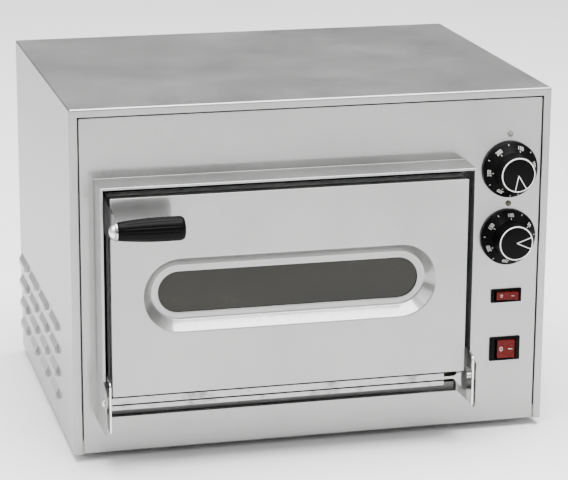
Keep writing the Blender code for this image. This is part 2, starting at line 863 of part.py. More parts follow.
def make_door_filling():
    """The wool inside the door, the two window panes and the ring that clamps the outer pane."""
    left, right = door_sides(0.0004 + SHEET + 0.0006)
    wool = box(
        "door_insulation",
        (left, DOOR_FACE_Y + 0.006, DOOR_BOTTOM + 0.0026),
        (right, DOOR_BACK_Y - SHEET - 0.0006, DOOR_TOP - 0.0026),
        WOOL,
    )
    clear = WINDOW_RING + WINDOW_FLANK + SHEET + 0.002
    way = stadium_loft("wool_window", window_outline(clear), -0.050, window_outline(clear), 0.020)
    cut(wool, way)
    pane_front = DOOR_FACE_Y + WINDOW_DISH + SHEET + GAP
    pane_y = pane_front + GLASS_THICK / 2
    pane = [window_outline(GLASS_LIP)]
    plate("window_glass_outer", pane, GLASS_THICK, (0, pane_y, 0), "front", GLASS)
    inner_y = DOOR_BACK_Y - SHEET - GAP - GLASS_THICK / 2
    plate("window_glass_inner", pane, GLASS_THICK, (0, inner_y, 0), "front", CLEAR_GLASS)
    clamp = [window_outline(GLASS_LIP + 0.003), window_outline(-0.001)]
    clamp_y = pane_front + GLASS_THICK + GAP + 0.001
    plate("window_clamp", clamp, 0.002, (0, clamp_y, 0), "front", ALUMINISED)


def make_hinges():
    """Arms on both sides of the door, the pins they turn on, and the washers beside the cheeks."""
    arm_outline = [
        (-0.037, 0.0415),
        (-0.0395, 0.039),
        (-0.0515, 0.039),
        (ARM_FRONT_Y, 0.0415),
        (ARM_FRONT_Y, 0.086),
        (-0.0515, 0.0925),
        (-0.0460, 0.095),
        (-0.0120, 0.095),
        (-0.0120, 0.078),
        (-0.0300, 0.074),
        (-0.0370, 0.062),
    ]
    half_surround = SURROUND_W / 2
    for label, side in (("left", -1), ("right", 1)):
        x = DECK_X + side * (ARM_INNER_X + ARM_THICK / 2)
        arm = plate(
            "hinge_arm_" + label,
            [arm_outline, circle(HINGE_Y, HINGE_Z, PIN_R + RUNNING_GAP, 16)],
            ARM_THICK,
            (x, 0, 0),
            "side",
            BRIGHT_STEEL,
        )
        inner = DECK_X + side * (DOOR_W / 2 - 0.0004 + GAP)
        for i, y in enumerate((-0.029, -0.017)):
            ends = ((x, y, 0.087), (inner, y, 0.087))
            join(arm, rod(f"arm_boss_{label}_{i}", 0.004, ends, sides=12))
        outer = DECK_X + side * half_surround
        shank = ARM_INNER_X - half_surround - 0.0012
        pin = [
            (0, 0.0022),
            (0.0028, 0.0018),
            (0.0042, 0.0003),
            (PIN_R, 0.0003),
            (PIN_R, shank),
            (0, shank),
        ]
        turned("hinge_pin_" + label, pin, (outer, HINGE_Y, HINGE_Z), (side, 0, 0), BRIGHT_STEEL, 16)
        cheek_face = half_surround - SHEET - GAP
        arm_face = ARM_INNER_X + ARM_THICK + GAP
        washer = [
            (PIN_R + RUNNING_GAP, cheek_face),
            (0.0055, cheek_face),
            (0.0055, arm_face),
            (PIN_R + RUNNING_GAP, arm_face),
            (PIN_R + RUNNING_GAP, cheek_face),
        ]
        centre = (DECK_X, HINGE_Y, HINGE_Z)
        turned("hinge_washer_" + label, washer, centre, (side, 0, 0), NYLON, 16)


def make_handle():
    """A bracket off the door's left edge that carries a tapered grip on a domed bolt."""
    tip = [
        (HANDLE_Y + 0.0095 * math.cos(a), HANDLE_Z + 0.0095 * math.sin(a))
        for a in (math.radians(d) for d in range(80, 281, 25))
    ]
    outline = tip + [(-0.0330, 0.236), (-0.0140, 0.236), (-0.0140, 0.2745), (-0.0240, 0.2745)]
    skin_left = DECK_X - DOOR_W / 2
    bracket_x = skin_left - GAP - BRACKET_THICK / 2
    plate(
        "handle_bracket",
        [outline, circle(HANDLE_Y, HANDLE_Z, 0.0033, 16)],
        BRACKET_THICK,
        (bracket_x, 0, 0),
        "side",
        STEEL,
    )
    length = GRIP_LENGTH
    grip = [
        (0, length),
        (GRIP_R_LARGE - 0.0025, length),
        (GRIP_R_LARGE - 0.0007, length - 0.0008),
        (GRIP_R_LARGE, length - 0.0027),
        (GRIP_R_LARGE, length * 0.62),
        (GRIP_R_LARGE * 0.93, length * 0.35),
        (GRIP_R_SMALL, 0.0005),
        (GRIP_R_SMALL - 0.0005, 0),
        (0.0033, 0),
        (0.0033, length - 0.014),
        (0, length - 0.014),
    ]
    turned("handle_grip", grip, (skin_left, HANDLE_Y, HANDLE_Z), (1, 0, 0), BLACK_PLASTIC)
    head_x = skin_left - BRACKET_THICK - 2 * GAP
    reach = skin_left + length - 0.0145 - head_x
    bolt = [
        (0, 0.0052),
        (0.0040, 0.0044),
        (0.0064, 0.0024),
        (0.0072, 0),
        (0.0030, 0),
        (0.0030, -reach),
        (0, -reach),
    ]
    turned("handle_bolt", bolt, (head_x, HANDLE_Y, HANDLE_Z), (-1, 0, 0), BRIGHT_STEEL, 16)


# Controls -----------------------------------------------------------------------------------------


def make_thermostats():
    """Two knobs with dial skirts, their shafts, thermostats and sensing bulbs."""
    knob = [
        (0, KNOB_REACH),
        (KNOB_CAP_R - 0.0008, KNOB_REACH),
        (KNOB_CAP_R, KNOB_REACH - 0.0010),
        (KNOB_CAP_R + 0.0010, 0.0120),
        (KNOB_CAP_R + 0.0020, 0.0105),
        (KNOB_R, 0.0042),
        (KNOB_R, 0.0015),
        (SHAFT_R + GAP, 0.0015),
        (SHAFT_R + GAP, 0.0200),
        (0, 0.0200),
    ]
    heights = (("upper", UPPER_KNOB_Z, UPPER_SENSOR_Z), ("lower", LOWER_KNOB_Z, LOWER_SENSOR_Z))
    for label, z, sensor_z in heights:
        turned(label + "_knob", knob, (CONTROL_X, 0, z), (0, -1, 0), BLACK_PLASTIC, 32)
        ends = ((CONTROL_X, -0.0197, z), (CONTROL_X, 0.0085, z))
        rod(label + "_thermostat_shaft", SHAFT_R, ends, BRIGHT_STEEL, 16)
        body = box(
            label + "_thermostat",
            (CONTROL_X - 0.017, PANEL_SETBACK + SHEET + GAP, z - 0.020),
            (CONTROL_X + 0.017, 0.034, z + 0.020),
            CERAMIC,
        )
        ends = ((CONTROL_X, -0.010, z), (CONTROL_X, 0.0090, z))
        cut(body, rod(label + "_thermostat_bore", SHAFT_R + GAP, ends, sides=16))
        make_sensor(label, z, sensor_z)


def make_sensor(label, thermostat_z, z):
    """A sensing bulb through the chamber's side wall, and its thin tube to the thermostat."""
    route = [
        (0.146, SENSOR_Y, z),
        (0.160, SENSOR_Y, z),
        (0.182, SENSOR_Y, z),
        (0.198, SENSOR_Y - 0.010, z + 0.3 * (thermostat_z - z)),
        (0.205, SENSOR_Y - 0.040, z + 0.6 * (thermostat_z - z)),
        (CONTROL_X, 0.180, z + 0.9 * (thermostat_z - z)),
        (CONTROL_X, 0.070, thermostat_z),
        (CONTROL_X, 0.0345, thermostat_z),
    ]
    sensor = tube(label + "_sensor", route, 0.0010, COPPER)
    ends = ((0.070, SENSOR_Y, z), (0.150, SENSOR_Y, z))
    join(sensor, rod(label + "_sensor_bulb", SENSOR_R, ends, sides=12))


def make_switch(label, z, bezel_h, rocker_w, rocker_h):
    """A rocker switch on its side: a bezel and body in the panel, and a rocker in its front."""
    bezel_w = 0.033
    body_w = 0.0298
    body_h = bezel_h - 0.003
    bezel_back = PANEL_SETBACK - GAP
    bezel_front = bezel_back - 0.0022
    housing = box(
        label + "_switch_housing",
        (SWITCH_X - body_w / 2, bezel_back - 0.0010, z - body_h / 2),
        (SWITCH_X + body_w / 2, 0.024, z + body_h / 2),
        BLACK_PLASTIC,
    )
    bezel = box(
        label + "_bezel",
        (SWITCH_X - bezel_w / 2, bezel_front, z - bezel_h / 2),
        (SWITCH_X + bezel_w / 2, bezel_back, z + bezel_h / 2),
    )
    well = box(
        label + "_well",
        (SWITCH_X - rocker_w / 2 - 0.0012, bezel_front - 0.010, z - rocker_h / 2 - 0.0006),
        (SWITCH_X + rocker_w / 2 + 0.0012, 0.0080, z + rocker_h / 2 + 0.0006),
    )
    join(housing, bezel)
    cut(housing, well)
    half = rocker_w / 2
    outline = [
        (-half, -0.0052),
        (-half * 0.5, -0.0042),
        (0, -0.0038),
        (half * 0.5, -0.0042),
        (half, -0.0052),
        (half, 0.0006),
        (0, 0.0030),
        (-half, 0.0006),
    ]
    curve = bpy.data.curves.new(label + "_rocker", "CURVE")
    curve.dimensions = "2D"
    curve.fill_mode = "BOTH"
    curve.extrude = rocker_h / 2
    spline = curve.splines.new("POLY")
    spline.points.add(len(outline) - 1)
    for point, (u, v) in zip(spline.points, outline):
        point.co = (u, v, 0, 1)
    spline.use_cyclic_u = True
    tilt = Matrix.Rotation(-ROCKER_TILT, 4, "Z")
    pivot = Matrix.Translation(at(SWITCH_X, ROCKER_PIVOT_Y, z))
    mesh_of_curve(label + "_switch_rocker", curve, pivot @ tilt, RED_PLASTIC)


def make_pilot_lamps():
    """Two small signal lamps above the knobs."""
    lens = [
        (0, 0.0022),
        (0.0017, 0.0019),
        (0.0027, 0.0011),
        (0.0031, 0.0003),
        (0.0024, 0.0003),
        (0.0024, -0.0140),
        (0, -0.0140),
    ]
    for label, z, finish in (
        ("upper", UPPER_PILOT_Z, GREY_LENS),
        ("lower", LOWER_PILOT_Z, AMBER_LENS),
    ):
        centre = (CONTROL_X, PANEL_SETBACK, z)
        turned(label + "_pilot_lamp", lens, centre, (0, -1, 0), finish, 12)


def make_connections():
    """The supply inlet's gland and locknut, the earth stud and the terminal block."""
    rear = CASING_D - PANEL_SETBACK
    reach = CASING_D + REAR_REACH - rear
    gland = [
        (0.0045, reach),
        (0.0075, reach),
        (0.0088, reach - 0.0025),
        (0.0088, 0.0060),
        (0.0105, 0.0055),
        (0.0105, GAP),
        (0.0064, GAP),
        (0.0064, -0.0090),
        (0.0045, -0.0090),
        (0.0045, reach),
    ]
    turned("cable_gland", gland, (CONTROL_X, rear, GLAND_Z), (0, 1, 0), BLACK_PLASTIC, 20)
    nut = [circle(CONTROL_X, GLAND_Z, 0.0112, 6), circle(CONTROL_X, GLAND_Z, 0.0068)]
    nut_y = rear - SHEET - GAP - 0.0025
    plate("gland_locknut", nut, 0.005, (0, nut_y, 0), "front", BLACK_PLASTIC)
    stud = [
        (0, 0.0130),
        (0.0026, 0.0130),
        (0.0030, 0.0125),
        (0.0030, 0.0060),
        (0.0058, 0.0060),
        (0.0058, 0.0008),
        (0.0070, 0.0008),
        (0.0070, GAP),
        (0.0030, GAP),
        (0.0030, -0.0080),
        (0, -0.0080),
    ]
    turned("earth_stud", stud, (CONTROL_X, rear, EARTH_Z), (0, 1, 0), BRASS, 12)
    block = box("terminal_block", (0.180, 0.290, 0.016), (0.232, 0.308, 0.034), CERAMIC)
    for i in range(3):
        x = 0.188 + i * 0.018
        well = box(f"terminal_well_{i}", (x - 0.005, 0.294, 0.026), (x + 0.005, 0.304, 0.040))
        cut(block, well)


# Moving bodies ------------------------------------------------------------------------------------


def hang(empty_name, pivot, names):
    """Parents the pieces of one moving body to an empty on its joint's axis."""
    empty = bpy.data.objects.new(empty_name, None)
    empty.location = pivot
    empty.empty_display_size = 0.02
    bpy.data.collections["deck_oven"].objects.link(empty)
    bpy.context.view_layer.update()
    for name in names:
        piece = bpy.data.objects[name]
        piece.parent = empty
        piece.matrix_parent_inverse = empty.matrix_world.inverted()


def hang_bodies():
    """Groups the door and the two knobs on their axes."""
    door = [
        "door_outer_skin",
        "door_inner_liner",
        "door_insulation",
        "window_glass_outer",
        "window_glass_inner",
        "window_clamp",
        "hinge_arm_left",
        "hinge_arm_right",
        "handle_bracket",
        "handle_grip",
        "handle_bolt",
    ]
    hang("door_axis", at(DECK_X, HINGE_Y, HINGE_Z), door)
    for label, z in (("upper", UPPER_KNOB_Z), ("lower", LOWER_KNOB_Z)):
        pieces = [label + "_knob", label + "_thermostat_shaft"]
        hang(label + "_knob_axis", at(CONTROL_X, 0, z), pieces)


def main():
    """Builds the oven."""
    start()
    make_outer_shell()
    make_front_panel()
    make_rear_panel()
    make_base_pan()
    make_feet()
    make_partition()
    make_door_surround()
    make_door_sill()
    make_chamber_liner()
    make_chamber_gasket()
    make_stone_and_rails()
    make_heating_elements()
    make_chamber_lamp()
    make_insulation()
    make_door_outer_skin()
    make_door_inner_liner()
    make_door_filling()
    make_hinges()
    make_handle()
    make_thermostats()
    make_switch("lamp", LAMP_SWITCH_Z, 0.0144, 0.0236, 0.0088)
    make_switch("main", MAIN_SWITCH_Z, 0.0256, 0.0190, 0.0196)
    make_pilot_lamps()
    make_connections()
    hang_bodies()


main()
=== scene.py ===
"""The looks of a countertop deck oven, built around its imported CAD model.

Lengths are in metres, in the CAD model's frame: +X to the right, +Y to the back, +Z up.
"""

import math

import bmesh
import bpy
from mathutils import Matrix, Vector


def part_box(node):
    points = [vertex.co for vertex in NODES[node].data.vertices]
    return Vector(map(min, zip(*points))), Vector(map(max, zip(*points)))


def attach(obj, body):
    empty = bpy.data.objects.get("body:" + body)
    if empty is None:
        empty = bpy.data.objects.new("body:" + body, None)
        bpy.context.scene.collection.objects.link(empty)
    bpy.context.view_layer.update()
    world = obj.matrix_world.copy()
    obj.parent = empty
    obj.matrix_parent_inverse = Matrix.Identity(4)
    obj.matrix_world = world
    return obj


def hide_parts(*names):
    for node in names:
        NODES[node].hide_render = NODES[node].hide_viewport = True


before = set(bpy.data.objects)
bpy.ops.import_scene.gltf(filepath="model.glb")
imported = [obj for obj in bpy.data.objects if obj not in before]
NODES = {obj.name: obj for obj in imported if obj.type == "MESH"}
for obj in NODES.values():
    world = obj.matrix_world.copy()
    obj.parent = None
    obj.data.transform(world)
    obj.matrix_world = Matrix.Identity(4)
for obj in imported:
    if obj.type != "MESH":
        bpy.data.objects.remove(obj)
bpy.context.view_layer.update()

# The casing's sheet metal
BEND_R = 0.0022
LOUVRE_DEPTH = 0.004
RIM_W = 0.0085
RIM_REACH = 0.009

# The casing, from the frame
SHELL_LOW, SHELL_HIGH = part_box("outer_shell")
PANEL_LOW, PANEL_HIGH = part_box("front_panel")
HALF_W = SHELL_HIGH.x - LOUVRE_DEPTH
FRONT_Y = SHELL_LOW.y
BACK_Y = SHELL_HIGH.y
BASE_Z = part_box("base_pan")[0].z
TOP_Z = SHELL_HIGH.z

# Camera: place, direction in degrees and lens in millimetres
CAMERA_PLACE = (-0.59518, -2.37754, 0.85837)
CAMERA_AZIMUTH = -14.18931
CAMERA_ELEVATION = 15.51276
CAMERA_ROLL = 0.33987
CAMERA_LENS = 149.219


# --- Node materials ---


class Graph:
    """A material's node tree, with short calls for the nodes used here."""

    def __init__(self, name):
        self.material = bpy.data.materials.new(name)
        self.material.use_nodes = True
        self.tree = self.material.node_tree
        self.shader = self.tree.nodes["Principled BSDF"]
        self.coordinates = self.tree.nodes.new("ShaderNodeTexCoord").outputs["Object"]

    def give(self, socket, value):
        """Sets a socket to a value, or links another socket to it."""
        if isinstance(value, bpy.types.NodeSocket):
            self.tree.links.new(value, socket)
        else:
            socket.default_value = value

    def set(self, name, value):
        """Gives the shader one of its inputs."""
        self.give(self.shader.inputs[name], value)

    def node(self, kind, inputs, output):
        """An output of a new node that is given its inputs by name."""
        node = self.tree.nodes.new("ShaderNode" + kind)
        for name, value in inputs.items():
            self.give(node.inputs[name], value)
        return node.outputs[output]

    def stretched(self, scale):
        """Object coordinates, scaled along each axis."""
        return self.node("Mapping", {"Scale": scale, "Vector": self.coordinates}, "Vector")

    def noise(self, scale, detail=4.0, roughness=0.5, vector=None):
        grain = {"Scale": scale, "Detail": detail, "Roughness": roughness}
        return self.node("TexNoise", {**grain, "Vector": vector or self.coordinates}, "Fac")

    def ramp(self, value, stops):
        """A colour ramp: stops are (place, colour)."""
        node = self.tree.nodes.new("ShaderNodeValToRGB")
        ramp = node.color_ramp
        for element, (where, colour) in zip(ramp.elements, (stops[0], stops[-1])):
            element.position = where
            element.color = (*colour, 1.0)
        for where, colour in stops[1:-1]:
            ramp.elements.new(where).color = (*colour, 1.0)
        self.give(node.inputs["Fac"], value)
        return node.outputs["Color"]

    def spread(self, value, low, high, start=0.3, end=0.7):
        """A value taken from start..end to low..high."""
        ends = {"From Min": start, "From Max": end, "To Min": low, "To Max": high}
        return self.node("MapRange", {**ends, "Value": value}, "Result")

    def math(self, operation, first, second):
        node = self.tree.nodes.new("ShaderNodeMath")
        node.operation = operation
        self.give(node.inputs[0], first)
        self.give(node.inputs[1], second)
        return node.outputs["Value"]

    def bump(self, height, strength, distance):
        sizes = {"Strength": strength, "Distance": distance}
        return self.node("Bump", {**sizes, "Height": height}, "Normal")


def grey(level):
    return (level, level, level * 0.99)


def brushed(name, level, along, smooth=0.10, rough=0.50, mottle=0.055):
    """Rolled sheet steel: fine glossy grains among matt ones, drawn out along one axis."""
    g = Graph(name)
    across, drawn = 7000.0, 2200.0
    scale = {"X": (drawn, across, across), "Y": (across, drawn, across), "Z": (across, across, drawn)}
    grain = g.noise(1.0, 1.0, 0.5, g.stretched(scale[along]))
    blotch = g.noise(8.0, 7.0, 0.62)
    shade = g.math("ADD", g.math("MULTIPLY", grain, 0.3), g.math("MULTIPLY", blotch, 0.7))
    g.set("Base Color", g.ramp(shade, [(0.3, grey(level - mottle)), (0.7, grey(level + mottle))]))
    gloss = g.spread(grain, smooth, rough, 0.46, 0.52)
    g.set("Roughness", g.math("ADD", gloss, g.spread(blotch, -0.04, 0.07)))
    g.set("Normal", g.bump(blotch, 0.05, 0.002))
    g.set("Metallic", 1.0)
    return g.material


# Width of the soft edge of the painted shade band
SHADE_EDGE = 0.0006


def shade_banded(name, level, first, last, shade_tone, pale=None):
    """Sheet steel with a band of painted shade between two places along Y.

    The tone given after the two places is the band's painted dark tone, and a paler one is glossier.
    Where pale is given, the sheet in front of first loses that share of its metal look, so that its pale
    tone paints light onto it.
    """
    g = Graph(name)
    along = g.node("SeparateXYZ", {"Vector": g.coordinates}, "Y")
    cloud = g.noise(60.0, 5.0, 0.6)
    edge = g.math("ADD", along, g.spread(cloud, -SHADE_EDGE, SHADE_EDGE))
    begun = g.spread(edge, 0.0, 1.0, first - SHADE_EDGE, first + SHADE_EDGE)
    ended = g.spread(edge, 1.0, 0.0, last - SHADE_EDGE, last + SHADE_EDGE)
    # Mask of the painted shade band, with a cloudy edge
    shaded_band = g.math("MULTIPLY", begun, ended)
    bare = g.spread(cloud, level - 0.04, level + 0.04)
    kept = g.math("MULTIPLY", bare, g.math("SUBTRACT", 1.0, shaded_band))
    tone = g.math("ADD", kept, g.math("MULTIPLY", shaded_band, shade_tone))
    g.set("Base Color", g.ramp(tone, [(0.0, (0, 0, 0)), (1.0, (1, 1, 0.99))]))
    dullness = 0.45 * max(0.0, 1 - 5 * shade_tone)
    dulled = g.math("MULTIPLY", shaded_band, dullness)
    g.set("Roughness", g.math("ADD", g.spread(cloud, 0.26, 0.36), dulled))
    if pale is None:
        g.set("Metallic", 1.0)
    else:
        front = g.spread(edge, 1.0, 0.0, first - SHADE_EDGE, first + SHADE_EDGE)
        g.set("Metallic", g.math("SUBTRACT", 1.0, g.math("MULTIPLY", front, pale)))
    return g.material


def plain_metal(name, colour, roughness, scale=120.0, variation=0.05):
    """Metal with no grain: fine speckle in its colour and roughness."""
    g = Graph(name)
    speckle = g.noise(scale, 6.0, 0.6)
    darker = tuple(c * (1 - 2 * variation) for c in colour)
    lighter = tuple(min(1.0, c * (1 + variation)) for c in colour)
    g.set("Base Color", g.ramp(speckle, [(0.3, darker), (0.7, lighter)]))
    g.set("Roughness", g.spread(speckle, roughness - 0.04, roughness + 0.06))
    g.set("Normal", g.bump(speckle, 0.03, 0.0003))
    g.set("Metallic", 1.0)
    return g.material


def spangled(name):
    """Galvanised sheet, with its crystal pattern."""
    g = Graph(name)
    cells = g.node("TexVoronoi", {"Scale": 140.0, "Vector": g.coordinates}, "Color")
    g.set("Base Color", g.ramp(cells, [(0.2, grey(0.40)), (0.8, grey(0.56))]))
    g.set("Roughness", g.spread(g.noise(90.0), 0.38, 0.55))
    g.set("Metallic", 0.9)
    return g.material


def moulded(name, colour, roughness, texture=0.08, scale=900.0, specular=0.5):
    """Moulded plastic or rubber with a fine texture, paler where it is worn."""
    g = Graph(name)
    dust = g.noise(30.0, 5.0, 0.6)
    paler = tuple(c * 1.2 + 0.0005 for c in colour)
    g.set("Base Color", g.ramp(dust, [(0.35, colour), (0.75, paler)]))
    pores = g.noise(scale, 3.0, 0.5)
    g.set("Roughness", g.spread(dust, roughness - 0.04, roughness + 0.08))
    g.set("Normal", g.bump(pores, texture, 0.0003))
    g.set("Specular IOR Level", specular)
    return g.material


def fibrous(name, colour, scale, depth):
    """Wool or woven glass fibre."""
    g = Graph(name)
    fibres = g.noise(scale, 8.0, 0.75)
    darker = tuple(c * 0.72 for c in colour)
    g.set("Base Color", g.ramp(fibres, [(0.3, darker), (0.65, colour)]))
    g.set("Roughness", 0.95)
    g.set("Sheen Weight", 0.25)
    g.set("Normal", g.bump(fibres, 0.8, depth))
    return g.material


def fired_clay(name):
    """The refractory stone: pale, porous, browned where food has lain."""
    g = Graph(name)
    stain = g.noise(9.0, 4.0, 0.55)
    tone = [(0.35, (0.58, 0.48, 0.34)), (0.55, (0.50, 0.39, 0.26)), (0.75, (0.27, 0.19, 0.12))]
    g.set("Base Color", g.ramp(stain, tone))
    pores = g.noise(420.0, 5.0, 0.7)
    g.set("Roughness", g.spread(pores, 0.8, 1.0))
    g.set("Normal", g.bump(pores, 0.5, 0.0006))
    return g.material


def stained_glass(name):
    """The outer pane: dark olive from heat and smoke, smooth in front."""
    g = Graph(name)
    haze = g.noise(14.0, 4.0, 0.55, g.stretched((1.0, 1.0, 2.2)))
    tones = [(0.30, (0.010, 0.010, 0.008)), (0.52, (0.014, 0.0135, 0.009)), (0.75, (0.020, 0.019, 0.012))]
    g.set("Base Color", g.ramp(haze, tones))
    streak = g.noise(1.0, 3.0, 0.5, g.stretched((30.0, 30.0, 60.0)))
    g.set("Roughness", g.spread(streak, 0.05, 0.14))
    g.set("IOR", 1.34)
    g.set("Transmission Weight", 0.12)
    return g.material


def clear_glass(name, tint):
    g = Graph(name)
    smears = g.noise(40.0, 4.0, 0.5)
    g.set("Roughness", g.spread(smears, 0.02, 0.10))
    g.set("Base Color", (*tint, 1.0))
    g.set("Transmission Weight", 1.0)
    g.set("IOR", 1.5)
    return g.material


def glowing_red(name):
    """The rockers' translucent red plastic."""
    g = Graph(name)
    depth = g.noise(60.0, 3.0, 0.5)
    tones = [(0.3, (0.085, 0.0030, 0.0024)), (0.7, (0.115, 0.0045, 0.0034))]
    g.set("Base Color", g.ramp(depth, tones))
    g.set("Roughness", g.spread(g.noise(300.0), 0.24, 0.36))
    g.set("Subsurface Weight", 0.1)
    g.set("Subsurface Radius", (0.004, 0.001, 0.001))
    g.set("Subsurface Scale", 0.5)
    g.set("Specular IOR Level", 0.12)
    return g.material


def printed_white(name):
    g = Graph(name)
    wear = g.noise(500.0, 4.0, 0.6)
    g.set("Base Color", g.ramp(wear, [(0.3, (0.62, 0.62, 0.60)), (0.6, (0.86, 0.86, 0.84))]))
    g.set("Roughness", 0.5)
    return g.material


def make_materials():
    """Every material, by the record's slot where it has one."""
    return {
        "steel": brushed("steel_along_x", 0.37, "X"),
        "steel_y": brushed("steel_along_y", 0.33, "Y"),
        # painted shade: a near-black band across the door liner's top flange in the gap under the frame; in
        # front of it, the flange's pale, mostly diffuse tone paints light onto it
        "door_liner": shade_banded("door_liner_steel", 0.84, FRONT_Y - 0.0100, FRONT_Y + 0.0015, 0.018, 0.9),
        # painted shade: a darker band on the chamber's mouth flange, in the recess behind the door
        "chamber_liner": shade_banded("chamber_liner_steel", 0.27, FRONT_Y + 0.003, FRONT_Y + 0.0105, 0.13),
        # painted shade: the sill is near-black from just behind its front edge back under the door
        "sill_steel": shade_banded("sill_steel", 0.38, FRONT_Y - 0.0378, FRONT_Y + 0.02, 0.01),
        # painted shade: a dull grey for the lip along the mouth's bottom, standing in for the shaded band
        # under the sill
        "shade_plate": moulded("shade_plate", (0.20, 0.20, 0.195), 0.55),
        "chamber_steel": brushed("dull_steel", 0.30, "X", 0.30, 0.50, 0.05),
        "galvanised": spangled("galvanised_sheet"),
        "bright_steel": plain_metal("bright_steel", (0.76, 0.76, 0.75), 0.13, 200.0),
        "bolt_steel": plain_metal("bolt_steel", (0.80, 0.80, 0.79), 0.34, 200.0),
        "bracket_steel": plain_metal("bracket_steel", (0.40, 0.40, 0.40), 0.16, 200.0),
        "rubber": moulded("foot_rubber", (0.022, 0.022, 0.022), 0.75, 0.3),
        "gasket": fibrous("woven_fibre", (0.55, 0.54, 0.50), 700.0, 0.001),
        "wool": fibrous("mineral_wool", (0.74, 0.70, 0.52), 260.0, 0.004),
        "stone": fired_clay("baking_stone_clay"),
        "element": plain_metal("heated_sheath", (0.13, 0.12, 0.115), 0.42, 160.0, 0.15),
        "tinted_glass": stained_glass("stained_pane"),
        "clear_glass": clear_glass("clear_pane", (0.90, 0.93, 0.91)),
        "ceramic": moulded("ceramic_body", (0.78, 0.77, 0.73), 0.55, 0.15, 600.0),
        "copper": plain_metal("drawn_copper", (0.72, 0.40, 0.26), 0.32),
        "brass": plain_metal("turned_brass", (0.72, 0.55, 0.26), 0.26),
        "nylon": moulded("nylon_washer", (0.76, 0.74, 0.68), 0.45),
        "knob_plastic": moulded("knob_black", (0.002, 0.002, 0.002), 0.36, 0.05, 900.0, 0.05),
        "grip_plastic": moulded("grip_black", (0.0015, 0.0015, 0.0015), 0.30, 0.06, 900.0, 0.05),
        "switch_plastic": moulded("switch_black", (0.002, 0.002, 0.002), 0.38, 0.06, 900.0, 0.05),
        "gland_plastic": moulded("gland_black", (0.020, 0.020, 0.020), 0.45, 0.10),
        "red_plastic": glowing_red("rocker_red"),
        "grey_lens": moulded("grey_lens", (0.20, 0.20, 0.185), 0.14, 0.02),
        "olive_lens": moulded("olive_lens", (0.07, 0.07, 0.038), 0.14, 0.02),
        "print": printed_white("white_print"),
    }


MATERIALS = make_materials()


# --- Modelling helpers ---


def finish_mesh(name, bm, slots, sharp=35.0):
    """A new object from bmesh geometry, shaded smooth up to an angle."""
    mesh = bpy.data.meshes.new(name)
    bm.to_mesh(mesh)
    bm.free()
    mesh.shade_smooth()
    mesh.set_sharp_from_angle(angle=math.radians(sharp))
    for slot in slots:
        mesh.materials.append(MATERIALS[slot])
    obj = bpy.data.objects.new(name, mesh)
    bpy.context.scene.collection.objects.link(obj)
    return obj


def show(obj, body, slot, *nodes):
    """Hangs a piece on its body, in place of the CAD nodes that it stands for."""
    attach(obj, body)
    if nodes:
        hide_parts(*nodes)
    return obj


def thicken(obj, thickness):
    """Gives an open surface its thickness, behind its outer face."""
    solid = obj.modifiers.new("thickness", "SOLIDIFY")
    solid.thickness = thickness
    solid.offset = -1
    solid.use_even_offset = True
    return obj


def even_shading(obj):
    """Keeps large flat faces flat where they meet small rounded ones."""
    weighted = obj.modifiers.new("even_shading", "WEIGHTED_NORMAL")
    weighted.keep_sharp = True
    return obj


def face_out(bm, axis, sign):
    """Turns an open sheet's faces so that most of its area looks one way along an axis."""
    bmesh.ops.recalc_face_normals(bm, faces=bm.faces)
    outward = sum(face.normal[axis] * face.calc_area() for face in bm.faces)
    if outward * sign < 0:
        bmesh.ops.reverse_faces(bm, faces=bm.faces)


def dress(node, slot, bevel=0.0003, segments=2):
    """Keeps a CAD node and gives it its finish and softly rounded edges."""
    obj = NODES[node]
    obj.data.materials.clear()
    obj.data.materials.append(MATERIALS[slot])
    if bevel:
        weld = obj.modifiers.new("weld", "WELD")
        weld.merge_threshold = 0.000002
        flatten = obj.modifiers.new("flatten", "DECIMATE")
        flatten.decimate_type = "DISSOLVE"
        flatten.angle_limit = math.radians(1.0)
        edges = obj.modifiers.new("edges", "BEVEL")
        edges.width = bevel
        edges.segments = segments
        edges.limit_method = "ANGLE"
        edges.angle_limit = math.radians(50)
        edges.use_clamp_overlap = True
    obj.data.shade_smooth()
    obj.data.set_sharp_from_angle(angle=math.radians(35))
    return even_shading(obj)


def revolve(name, profile, centre, towards, slots, steps=64, sharp=35.0, ripple=None):
    """A turned piece from (radius, height) points, heights along towards.

    ripple(angle, height) is a factor on the radius, for flutes and ribs.
    """
    bm = bmesh.new()
    rings = []
    for radius, height in profile:
        if radius == 0:
            rings.append([bm.verts.new((0, 0, height))])
            continue
        ring = []
        for i in range(steps):
            angle = math.tau * i / steps
            r = radius * (ripple(angle, height) if ripple else 1.0)
            ring.append(bm.verts.new((r * math.cos(angle), r * math.sin(angle), height)))
        rings.append(ring)
    for upper, lower in zip(rings, rings[1:]):
        for i in range(steps):
            j = (i + 1) % steps
            corners = [upper[i % len(upper)], lower[i % len(lower)]]
            corners += [lower[j % len(lower)], upper[j % len(upper)]]
            unique = list(dict.fromkeys(corners))
            if len(unique) > 2:
                bm.faces.new(unique)
    bmesh.ops.recalc_face_normals(bm, faces=bm.faces)
    turn = Vector(towards).to_track_quat("Z", "Y").to_matrix().to_4x4()
    bm.transform(Matrix.Translation(Vector(centre)) @ turn)
    return finish_mesh(name, bm, slots, sharp)


def arc(centre, radius, first, last, steps):
    """Points along an arc, with angles in degrees."""
    points = []
    for i in range(steps + 1):
        a = math.radians(first + (last - first) * i / steps)
        points.append((centre[0] + radius * math.cos(a), centre[1] + radius * math.sin(a)))
    return points


